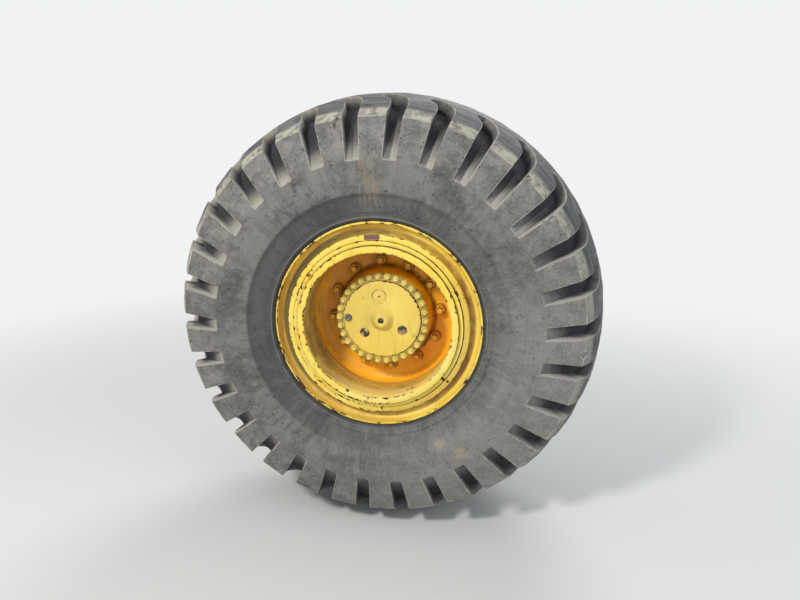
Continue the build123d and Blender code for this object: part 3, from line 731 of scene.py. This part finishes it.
# The level plug's pale dot and ring, and the boss plug's pale dot, are painted highlights.
level_highlights = [(-0.01, 0.0016), (0.0062, 0.0092)]
level_steel = plug_steel(
    "dusty_plug_steel", "fill_plug", (0.040, 0.042, 0.043), level_highlights, (0.22, 0.21, 0.17)
)
boss_steel = plug_steel(
    "oily_plug_steel", "centre_plug", (0.016, 0.015, 0.013), [(-0.01, 0.0030)], (0.80, 0.70, 0.40)
)
softened("fill_plug", "oil_level_plug", 0.001, "wheel", level_steel)
softened("centre_plug", "boss_socket_plug", 0.0008, "wheel", boss_steel)

# Planet gears: the gear set closed inside the drum, kept as one heavy block of oiled steel, and seen only
# where the cover comes off.
gear, place = finish("oiled_gear_steel", 0.3, 0.8)
film = clouds(place, 40.0, 5.0)
put("Base Color", colour_mix(film, (0.22, 0.20, 0.17), (0.42, 0.40, 0.37)))
put("Roughness", span(film, 0.3, 0.7, 0.22, 0.5))
relief(clouds(place, 350.0, 2.0), 0.0002)
softened("gear_block", "planet_gear_block", 0.002, "wheel", gear)

# Tyre valve: bent brass stem with a cap, fixed in the barrel by its nut. It is tarnished and splashed with
# the rim's paint.
brass, place = finish("tarnished_brass", 0.4, 0.0, 0.6)
film = clouds(place, 120.0, 6.0, 0.6)
splash = span(clouds(place, 45.0, 3.0), 0.54, 0.58)
colour = colour_mix(span(film, 0.35, 0.65), (0.13, 0.075, 0.025), (0.42, 0.27, 0.08))
put("Base Color", colour_mix(splash, colour, (0.78, 0.45, 0.04)))
put("Roughness", span(film, 0.3, 0.7, 0.3, 0.6))
relief(film, 0.0003)
softened("valve_stem", "valve_stem_brass", 0.0007, "wheel", brass)

# Tyre: worn earthmover lug tyre, moulded in one piece. Thirty lugs a side run in from the shoulder and bend
# to a rib at the middle, and each groove between them opens to the side as a pocket. Grey with dust, its
# edges scuffed, with the moulded rings of the sidewall and nothing else on it.
tyre_radius = 0.850
half_width = 0.366
tread_half = 0.274
face_edge = (0.760, 0.322)
buttress = 0.614
label_step = (0.4985, 0.355)
crown_arc = (0.062**2 + tread_half**2) / (2 * 0.062)
lugs = 30
pitch = 360.0 / lugs
groove_phase = 5.0
groove_half = 0.023
groove_bend = 0.235
groove_foot = 0.608
groove_head = 0.862
bend_radius = 0.185
bend_angle = 50.0
draft = math.tan(math.radians(2.3))
section_start = groove_phase - 9.0
edge_chamfer = 0.0028
scrub_start = 0.66
scrub_depth = 0.0052
vent_circle = 0.690
vent_turn = 2.65


def drawn(name, corners):
    """A closed chain of edges through the corners, extruded from one point, in edit mode."""
    deselect_all()
    bpy.ops.mesh.primitive_plane_add(size=0.01)
    chain = bpy.context.object
    chain.name = name
    edit_mesh()
    bpy.ops.mesh.merge(type="CENTER")
    bpy.ops.transform.translate(value=corners[0])
    for here, there in zip(corners, corners[1:] + corners[:1]):
        move = Vector(there) - Vector(here)
        bpy.ops.mesh.extrude_region_move(TRANSFORM_OT_translate={"value": move})
    edit_mesh()
    bpy.ops.mesh.remove_doubles(threshold=0.000002)
    return chain


def face_outwards():
    """Turns all faces of the mesh outwards, and leaves edit mode."""
    bpy.ops.mesh.select_all(action="SELECT")
    bpy.ops.mesh.normals_make_consistent(inside=False)
    leave_mesh()


def turned(name, outline, start, sweep, steps):
    """A closed outline of (radius, place along the axle) turned about the wheel's axis."""
    sine, cosine = math.sin(math.radians(start)), math.cos(math.radians(start))
    piece = drawn(name, [(radius * sine, along, radius * cosine) for radius, along in outline])
    bpy.ops.mesh.spin(steps=steps, angle=-math.radians(sweep), center=(0, 0, 0), axis=(0, 1, 0))
    edit_mesh()
    bpy.ops.mesh.remove_doubles(threshold=0.00001)
    face_outwards()
    return piece


def bowed(start, end, radius, count):
    """Points between two points on an arc that bulges outboard."""
    start, end = Vector(start), Vector(end)
    chord = end - start
    normal = Vector((-chord.y, chord.x)).normalized()
    rise = math.sqrt(radius**2 - chord.length_squared / 4)
    points = []
    for i in range(1, count + 1):
        point = start + chord * i / (count + 1)
        along = (point - (start + end) / 2).length
        points.append(tuple(point + normal * (math.sqrt(radius**2 - along**2) - rise)))
    return points


def ridge(radius, aside, width, height):
    """Four outline points of a small moulded ring."""
    foot, top = width / 2, width / 3
    return [
        (radius - foot, aside),
        (radius - top, aside + height),
        (radius + top, aside + height),
        (radius + foot, aside),
    ]


wall_arc = bowed(label_step, (buttress, half_width), 0.420, 9)
lug_foot = [(0.6055, 0.3662), (0.6225, 0.3637)]
half_outline = [
    (0.742, 0.0), (0.732, 0.090), (0.716, 0.170), (0.690, 0.240), (0.655, 0.284), (0.614, 0.319),
    (0.500, 0.318), (0.430, 0.285), (0.3815, 0.2475), (0.3119, 0.2155), (0.3175, 0.2792),
    (0.3752, 0.2792), (0.3938, 0.2978), (0.3938, 0.3175), (0.3990, 0.3262), (0.4045, 0.3300),
    (0.4100, 0.3306), (0.4125, 0.3282), (0.4200, 0.3300), *ridge(0.4305, 0.3334, 0.006, 0.0020),
    (0.4700, 0.3428), (0.4815, 0.3446), (0.4845, 0.3462), (0.4955, 0.3536), label_step,
    *wall_arc[:3], *ridge(0.5445, wall_arc[3][1] - 0.0002, 0.004, 0.0009), *wall_arc[4:], *lug_foot,
    (0.650, 0.3551), (0.687, 0.3440), (0.724, 0.3328), face_edge, (0.775, 0.2983),
]
for i in range(9):
    aside = tread_half * (8 - i) / 8
    half_outline.append((tyre_radius - crown_arc + math.sqrt(crown_arc**2 - aside**2), aside))
outline = [(radius, rim_plane - aside) for radius, aside in half_outline]
outline += [(radius, rim_plane + aside) for radius, aside in reversed(half_outline[1:-1])]
tyre = turned("lug_tyre", outline, section_start, pitch, 8)
only(tyre)
edit_mesh("DESELECT")
bpy.ops.mesh.select_non_manifold()
bpy.ops.mesh.fill_holes(sides=0)
face_outwards()


def groove_plan(grow):
    """Groove seen along its depth, from the shoulder inwards, its walls moved out by grow."""
    wide = groove_half + grow
    mouth = half_width + 0.046
    plan = [(-wide, mouth), (wide, mouth)]
    centre = groove_half - bend_radius
    outer, inner = bend_radius + grow, bend_radius - 2 * groove_half - grow
    for radius, turns in ((outer, range(0, 11)), (inner, range(10, -1, -1))):
        for i in turns:
            angle = math.radians(bend_angle * i / 10)
            shift = grow if i == 10 else 0.0
            across = centre + radius * math.cos(angle) - shift * math.sin(angle)
            plan.append((across, groove_bend - radius * math.sin(angle) - shift * math.cos(angle)))
    return plan


def groove_tool(side):
    """Solid of one groove at the top: drafted walls, cut off below by the groove's sloping floor."""
    ends = []
    for height in (groove_foot, groove_head):
        plan = groove_plan((height - groove_foot) * draft)
        ends.append(drawn("groove_end", [(x * side, rim_plane - side * t, height) for x, t in plan]))
        bpy.ops.mesh.edge_face_add()
        leave_mesh()
    walls = joined(ends, "groove")
    edit_mesh()
    bpy.ops.mesh.bridge_edge_loops()
    face_outwards()
    knee, start, end = Vector((0.262, 0.742)), Vector((0.2894, 0.7063)), Vector((0.2197, 0.7573))
    floor_line = [(0.360, 0.614)]
    for i in range(6):
        share = i / 5
        floor_line.append(tuple(start * (1 - share)**2 + knee * 2 * share * (1 - share) + end * share**2))
    floor_line += [(0.140, 0.786), (0.0, 0.802), (0.0, 0.858), (0.415, 0.858), (0.415, 0.614)]
    under = drawn("under", [(-0.4, rim_plane - side * t, z) for t, z in floor_line])
    bpy.ops.mesh.edge_face_add()
    bpy.ops.mesh.extrude_region_move(TRANSFORM_OT_translate={"value": (0.8, 0.0, 0.0)})
    face_outwards()
    cut(walls, under, "INTERSECT")
    return walls


for side, turn in ((1.0, 0.0), (-1.0, -pitch / 2)):
    tool = groove_tool(side)
    tool.data.transform(Matrix.Rotation(math.radians(groove_phase + turn), 4, "Y"))
    cut(tyre, tool)

outer_line = [Vector(point) for point in half_outline[half_outline.index(lug_foot[0]):]]


def depth_below(radius, aside):
    """Distance of a point from the tyre's outside line, lugs and sidewall taken together."""
    point, least = Vector((radius, aside)), 1.0
    for one, other in zip(outer_line, outer_line[1:]):
        share = max(0.0, min(1.0, (point - one).dot(other - one) / (other - one).length_squared))
        least = min(least, (one + (other - one) * share - point).length)
    return least


def in_tread(radius, aside):
    """True where a point is in the lugs or grooves, and not on the casing's inside."""
    inside = 0.748 - 0.2 * aside if aside < 0.24 else 0.700 - (aside - 0.24)
    return radius > max(inside, 0.6115)


def on_wheel(point):
    return math.hypot(point.x, point.z), abs(point.y - rim_plane)


def three_slots(piece):
    """Material slots for the outside, the scuffed edges and the grooves."""
    only(piece)
    for _ in range(3):
        bpy.ops.object.material_slot_add()


three_slots(tyre)
edit_mesh()
bpy.ops.mesh.remove_doubles(threshold=0.00002)
edit_mesh("DESELECT", "FACE")
leave_mesh()
ends = [math.radians(section_start), math.radians(section_start + pitch)]
for face in tyre.data.polygons:
    corners = [tyre.data.vertices[i].co for i in face.vertices]
    turns = [math.atan2(corner.x, corner.z) for corner in corners]
    face.select = any(max(abs(turn - end) for turn in turns) < 0.0004 for end in ends)
    if in_tread(*on_wheel(face.center)) and depth_below(*on_wheel(face.center)) > 0.0016:
        face.material_index = 2
bpy.ops.object.mode_set(mode="EDIT")
bpy.ops.mesh.delete(type="FACE")
edit_mesh("DESELECT")
leave_mesh()
for corner in tyre.data.vertices:
    turn = math.degrees(math.atan2(corner.co.x, corner.co.z)) - section_start
    corner.select = 0.05 < turn < pitch - 0.05 and in_tread(*on_wheel(corner.co))
bpy.ops.object.mode_set(mode="EDIT")
bpy.ops.mesh.remove_doubles(threshold=0.003)
edit_mesh("DESELECT", "EDGE")
bpy.ops.mesh.edges_select_sharp(sharpness=math.radians(21.0))
leave_mesh()
for edge in tyre.data.edges:
    one, other = (tyre.data.vertices[i].co for i in edge.vertices)
    if not in_tread(*on_wheel((one + other) / 2)):
        edge.select = False
bpy.ops.object.mode_set(mode="EDIT")
bpy.ops.mesh.bevel(
    offset=edge_chamfer,
    segments=2,
    affect="EDGES",
    clamp_overlap=False,
    loop_slide=False,
    miter_outer="ARC",
    material=1,
)
edit_mesh()
bpy.ops.mesh.spin(
    steps=lugs - 1, dupli=True, angle=math.radians(360.0 - pitch), center=(0, 0, 0), axis=(0, 1, 0)
)
edit_mesh()
bpy.ops.mesh.remove_doubles(threshold=0.00006)
face_outwards()
for face in tyre.data.polygons:
    if face.material_index == 1 and depth_below(*on_wheel(face.center)) > 0.0045:
        face.material_index = 2

# The lugs have lost chunks from their edges, and what is left of them is scrubbed uneven. A chunk is
# (degrees from the top, radius, distance outboard of the rim's centre plane, size, stretch outwards).
chunk_places = [
    (-10.5, 0.745, 0.322, 0.017, 1.7), (20.6, 0.790, 0.276, 0.012, 1.0), (44.0, 0.766, 0.312, 0.012, 1.2),
    (56.0, 0.740, 0.326, 0.010, 1.5), (71.8, 0.757, 0.321, 0.010, 1.0), (95.5, 0.762, 0.318, 0.014, 1.2),
    (131.0, 0.760, 0.320, 0.013, 1.3), (163.5, 0.789, 0.270, 0.012, 1.0), (214.0, 0.762, 0.318, 0.014, 1.1),
    (262.0, 0.760, 0.320, 0.010, 1.4), (301.5, 0.790, 0.272, 0.013, 1.0), (27.5, 0.760, -0.318, 0.014, 1.3),
    (118.0, 0.788, -0.274, 0.013, 1.0), (205.5, 0.758, -0.320, 0.012, 1.2), (9.0, 0.848, 0.020, 0.010, 0.8),
    (63.0, 0.848, -0.070, 0.012, 0.6), (101.0, 0.846, 0.075, 0.009, 0.7), (245.0, 0.848, 0.03, 0.011, 0.7),
]
chunks = []
for turn, radius, aside, size, stretch in chunk_places:
    deselect_all()
    bpy.ops.mesh.primitive_ico_sphere_add(subdivisions=3, radius=size)
    chunks.append(bpy.context.object)
    for corner in chunks[-1].data.vertices:
        rough = noise.noise(corner.co * 90.0 + Vector((turn, radius, size)))
        corner.co *= 1.0 + 0.35 * rough
        corner.co.z *= stretch
    chunks[-1].data.transform(Matrix.Translation((0.0, rim_plane - aside, radius)))
    chunks[-1].data.transform(Matrix.Rotation(math.radians(turn), 4, "Y"))
three_slots(chunks[0])
chunk_tool = joined(chunks, "chunks")
for face in chunk_tool.data.polygons:
    face.material_index = 1
cut(tyre, chunk_tool)
for corner in tyre.data.vertices:
    radius, aside = on_wheel(corner.co)
    if radius < scrub_start or not in_tread(radius, aside):
        continue
    share = min(1.0, (radius - scrub_start) / 0.06) * max(0.0, 1.0 - depth_below(radius, aside) / 0.03)
    scrubbed = 0.5 + 0.5 * noise.noise(corner.co * 17.0) + 0.25 * noise.noise(corner.co * 45.0)
    inwards = Vector((0.0, rim_plane, 0.0)) - corner.co
    inwards += Vector((corner.co.x, 0.0, corner.co.z)) * 0.62 / radius
    corner.co += inwards.normalized() * share * scrubbed * scrub_depth
only(tyre)
bpy.ops.object.shade_smooth_by_angle(angle=math.radians(34.0))


def dusty_rubber(name, low, high, dust, dust_share, grain):
    """Worn rubber: two greys in clouds and in streaks from the axle outwards, dust, fine cracks and pits."""
    rubber, place = finish(name, 0.8, 0.0, 0.3)
    radius, along = wheel_place(place)
    spoke = unrolled(place, radius, times(calc("ADD", radius, along), 0.9))
    streaks = clouds(spoke, 22.0, 6.0, 0.62)
    fine = clouds(spoke, 90.0, 4.0, 0.6)
    mottle = clouds(place, 6.0, 9.0, 0.62, 0.7)
    speck = clouds(place, 170.0, 5.0, 0.62)
    tone = calc("ADD", times(mottle, 0.6), times(streaks, 0.4))
    tone = calc("ADD", tone, sway(speck, 0.30))
    colour = colour_mix(span(tone, 0.38, 0.62), low, high)
    colour = colour_mix(span(fine, 0.46, 0.80, 0.0, dust_share), colour, dust)
    pits = span(clouds(place, 60.0, 2.0, 0.4), 0.70, 0.75)
    vein = calc("ABSOLUTE", calc("SUBTRACT", clouds(place, 13.0, 5.0, 0.55, 0.4), 0.5))
    cracks = times(span(vein, 0.0015, 0.0060, 1.0, 0.0), span(clouds(place, 21.0, 2.0, 0.5), 0.56, 0.62))
    pits = calc("MAXIMUM", pits, cracks)
    colour = colour_mix(times(pits, 0.7), colour, (0.022, 0.021, 0.020))
    put("Base Color", colour)
    put("Roughness", span(speck, 0.3, 0.7, 0.60, 0.90))
    relief(pits, -0.0012, relief(mottle, 0.003, relief(fine, 0.0007, relief(speck, grain))))
    return rubber, place, radius, along, colour, speck


side, place, radius, along, colour, speck = dusty_rubber(
    "sidewall_rubber", (0.082, 0.081, 0.079), (0.185, 0.180, 0.168), (0.26, 0.25, 0.225), 0.5, 0.0008
)
across, _, up = apart(place)
# The label band is darkened, most on the left, as painted shade of its recess.
label_shade_left = span(lean(place, radius, (-0.94, 0.0, 0.34)), -0.6, 0.9, 0.20, 0.66)
colour = colour_mix(times(ring_band(radius, 0.400, 0.4930, 0.0085), label_shade_left), colour, (0.040, 0.042, 0.045))
# Near black where the tyre meets the flange: painted shade.
colour = colour_mix(span(radius, 0.396, 0.412, 0.75, 0.0), colour, (0.020, 0.020, 0.020))
guard_worn = times(ring_band(radius, 0.4075, 0.4105, 0.0012), 0.34)
colour = colour_mix(guard_worn, colour, (0.27, 0.262, 0.240))
lug_tone = calc("ADD", times(speck, 0.45), times(clouds(place, 19.0, 6.0, 0.62, 0.4), 0.55))
lug_grey = colour_mix(span(lug_tone, 0.40, 0.60), (0.095, 0.093, 0.088), (0.262, 0.252, 0.226))
colour = colour_mix(times(span(radius, 0.600, 0.660), 0.62), colour, lug_grey)
vents = [from_nearest(place, vent_circle, lugs, groove_phase + turn) for turn in (-vent_turn, vent_turn)]
vents = calc("MINIMUM", *vents)
colour = colour_mix(times(span(vents, 0.0020, 0.0034, 1.0, 0.0), 0.9), colour, (0.020, 0.019, 0.018))
# Paler on the lower right of the sidewall: painted light.
lit_low_right = span(lean(place, radius, (0.80, 0.0, -0.60)), 0.15, 0.95, 0.0, 0.42)
lit_low_right = times(lit_low_right, span(speck, 0.3, 0.6, 0.5, 1.0), span(radius, 0.412, 0.520))
colour = colour_mix(lit_low_right, colour, (0.275, 0.265, 0.240))
ragged_aside = calc("ADD", from_rim_plane(along), sway(speck, 0.045))
tread = span(ragged_aside, 0.256, 0.282, 1.0, 0.0)
wipes = clouds(unrolled(place, radius, along, 0.16), 42.0, 8.0, 0.65, 0.3)
# The tread's dark grey is worn rubber, taken darker as painted shade and tinted blue as a painted sky
# reflection.
tread_grey_and_shade = colour_mix(span(wipes, 0.36, 0.64), (0.040, 0.042, 0.047), (0.120, 0.123, 0.130))
road_dust = span(clouds(place, 7.0, 7.0, 0.62), 0.47, 0.68, 0.0, 0.52)
tread_grey_and_shade = colour_mix(road_dust, tread_grey_and_shade, (0.235, 0.224, 0.200))
colour = colour_mix(times(tread, 0.90), colour, tread_grey_and_shade)
chamfer = times(ring_band(radius, 0.7605, 0.7870, 0.004), span(ragged_aside, 0.262, 0.280))
scuff = span(clouds(place, 26.0, 8.0, 0.68), 0.36, 0.58)
# The pale scuff on the chamfers is dust and wear, strongest at the top as painted light.
chamfer_lit_top = span(lean(place, radius, (-0.42, 0.0, 0.91)), -0.6, 0.5, 0.30, 0.90)
colour = colour_mix(times(chamfer, scuff, chamfer_lit_top), colour, (0.47, 0.440, 0.350))
outboard = span(along, -0.50, -0.48, 1.0, 0.0)
run = clouds(place, 75.0, 5.0, 0.65, 0.0, (1.0, 1.0, 0.09))
brown = times(ring_band(calc("ADD", across, sway(run, 0.09)), -0.030, 0.008, 0.028), outboard)
brown = times(brown, ring_band(up, 0.485, 0.600, 0.075), span(run, 0.44, 0.60, 0.12, 1.0), 0.66)
colour = colour_mix(brown, colour, (0.245, 0.190, 0.128))
for x, z, size in ((0.321, -0.469, 0.034), (0.246, -0.444, 0.024), (-0.36, -0.12, 0.035)):
    gap = calc("ADD", measured("DISTANCE", place, (x, -0.59, z)), sway(speck, 0.07))
    spot = times(span(gap, size * 0.3, size * 1.2, 1.0, 0.0), 0.6, outboard)
    colour = colour_mix(spot, colour, (0.34, 0.29, 0.20))
put("Base Color", colour)

edge = dusty_rubber(
    "scuffed_edge_rubber", (0.19, 0.184, 0.166), (0.42, 0.400, 0.345), (0.50, 0.47, 0.39), 0.6, 0.0014
)[0]

deep, place, radius, along, colour, speck = dusty_rubber(
    "groove_rubber", (0.080, 0.080, 0.079), (0.190, 0.186, 0.175), (0.25, 0.236, 0.208), 0.5, 0.0008
)
across, _, up = apart(place)
aside = from_rim_plane(along)
foot_radius, foot_aside = lug_foot[1]
face_slope = (foot_aside - face_edge[1]) / (face_edge[0] - foot_radius)
face_line = times(calc("SUBTRACT", radius, foot_radius), -face_slope)
face_gap = calc("SUBTRACT", calc("ADD", face_line, foot_aside), aside)
crown_drop = times(aside, aside, -0.5 / crown_arc)
crown_gap = calc("SUBTRACT", calc("ADD", crown_drop, tyre_radius), radius)
sunk = calc("ADD", calc("MINIMUM", face_gap, crown_gap), times(speck, 0.012))
colour = colour_mix(span(sunk, 0.008, 0.018, 0.70, 0.0), colour, (0.40, 0.378, 0.320))
# Groove walls turned towards the upper right, and groove floors near the top, are made paler: painted light.
turn = calc("SUBTRACT", calc("ARCTAN2", across, up), math.radians(groove_phase))
inner_side = span(along, rim_plane - 0.01, rim_plane + 0.01)
wall = span(calc("SINE", times(turn, float(lugs))), -0.2, 0.2, -1.0, 1.0)
wall = times(wall, calc("SUBTRACT", 1.0, times(inner_side, 2.0)))
from_middle = calc("SUBTRACT", calc("PINGPONG", turn, math.pi / lugs), times(inner_side, math.pi / lugs))
from_middle = times(calc("ABSOLUTE", from_middle), radius)
wall_line = calc("ADD", times(radius, draft), groove_half - groove_foot * draft)
on_wall = span(calc("SUBTRACT", wall_line, from_middle), 0.0012, 0.0040, 1.0, 0.0)
near_top = span(calc("DIVIDE", up, radius), 0.35, 0.80, 0.0, 0.75)
upward = lean(place, radius, (0.84, 0.0, 0.54))
lit_walls = times(span(times(wall, upward), 0.10, 0.70), span(aside, 0.225, 0.262))
lit_walls = times(lit_walls, calc("MAXIMUM", on_wall, near_top))
colour = colour_mix(times(lit_walls, span(sunk, 0.026, 0.070, 0.85, 0.0)), colour, (0.46, 0.440, 0.385))
# Paler grooves on the upper left: painted light.
upper_left = span(lean(place, radius, (-0.90, 0.0, 0.43)), 0.3, 0.85)
upper_left = times(upper_left, span(sunk, 0.010, 0.046, 0.75, 0.0))
colour = colour_mix(upper_left, colour, (0.42, 0.395, 0.325))
# The share of painted light keeps the painted shade deep in the grooves off the lit walls and floors.
lit_share = calc("MAXIMUM", times(lit_walls, 0.75), times(upper_left, 0.9))
shade = times(span(sunk, 0.016, 0.056, 0.0, 0.92), calc("SUBTRACT", 1.0, lit_share))
put("Base Color", colour_mix(shade, colour, (0.017, 0.019, 0.024)))
for number, material in enumerate((side, edge, deep)):
    tyre.material_slots[number].material = material
stand_for(tyre, "tyre", "wheel")

# Setting: plain pale floor that fades into an even backdrop, three soft lamps, and the camera where the
# photograph was taken from, above the hub's height.
haze = (0.88, 0.89, 0.90, 1.0)
deselect_all()
bpy.ops.mesh.primitive_plane_add(size=60.0, location=(0.0, 0.0, -tyre_radius))
floor = bpy.context.object
floor.name = "floor"


def camera_sees():
    """One for what the camera sees straight or in a gloss, zero for the light that falls on the piece."""
    ray = shader("LightPath").outputs
    seen = calc("MAXIMUM", ray["Is Camera Ray"], ray["Is Glossy Ray"])
    return calc("MAXIMUM", seen, ray["Is Transmission Ray"])


def end_in(output, share, near, far):
    """Mixes the two shaders and ends the nodes with them."""
    mixed = shader("MixShader", [(0, share), (1, near.outputs[0]), (2, far.outputs[0])])
    tree = coats[-1].node_tree
    tree.links.new(mixed.outputs[0], tree.nodes[output].inputs["Surface"])


pale, place = finish("pale_floor", 0.9, 0.0, 0.2)
surface().inputs["Base Color"].default_value = (0.66, 0.66, 0.65, 1.0)
away = times(span(measured("LENGTH", place), 1.2, 4.5), camera_sees())
end_in("Material Output", away, surface(), shader("Emission", [("Color", haze), ("Strength", 1.0)]))
floor.data.materials.append(pale)

world = bpy.data.worlds.new("studio")
bpy.context.scene.world = world
world.use_nodes = True
coats.append(world)
sky = world.node_tree.nodes["Background"]
sky.inputs["Color"].default_value = (0.90, 0.95, 1.0, 1.0)
sky.inputs["Strength"].default_value = 0.46
end_in("World Output", camera_sees(), sky, shader("Background", [("Color", haze)]))


def lamp(name, place, target, size, power, colour=(1.0, 1.0, 1.0)):
    bpy.ops.object.light_add(type="AREA", location=place)
    made = bpy.context.object
    made.name = name
    made.data.shape = "DISK"
    made.data.size = size
    made.data.energy = power
    made.data.color = colour
    made.rotation_euler = (Vector(target) - Vector(place)).to_track_quat("-Z", "Y").to_euler()


lamp("key_lamp", (-2.1, -4.1, 3.3), (0.0, -0.3, 0.0), 0.8, 205.0, (1.0, 0.97, 0.93))
lamp("fill_lamp", (3.6, -3.4, 1.6), (0.0, -0.3, 0.0), 3.0, 70.0, (0.90, 0.95, 1.0))
lamp("back_lamp", (1.0, 4.2, 3.2), (0.0, 0.0, 0.0), 3.0, 170.0)

bpy.ops.object.camera_add(location=(0.470, -2.939, 0.728))
camera = bpy.context.object
camera.name = "camera"
camera.data.lens = 30.6
camera.data.sensor_width = 36.0
camera.data.sensor_fit = "HORIZONTAL"
camera.rotation_euler = (math.radians(90.0 - 14.47), 0.0, math.radians(9.15))
bpy.context.scene.camera = camera
bpy.context.scene.view_settings.view_transform = "Standard"
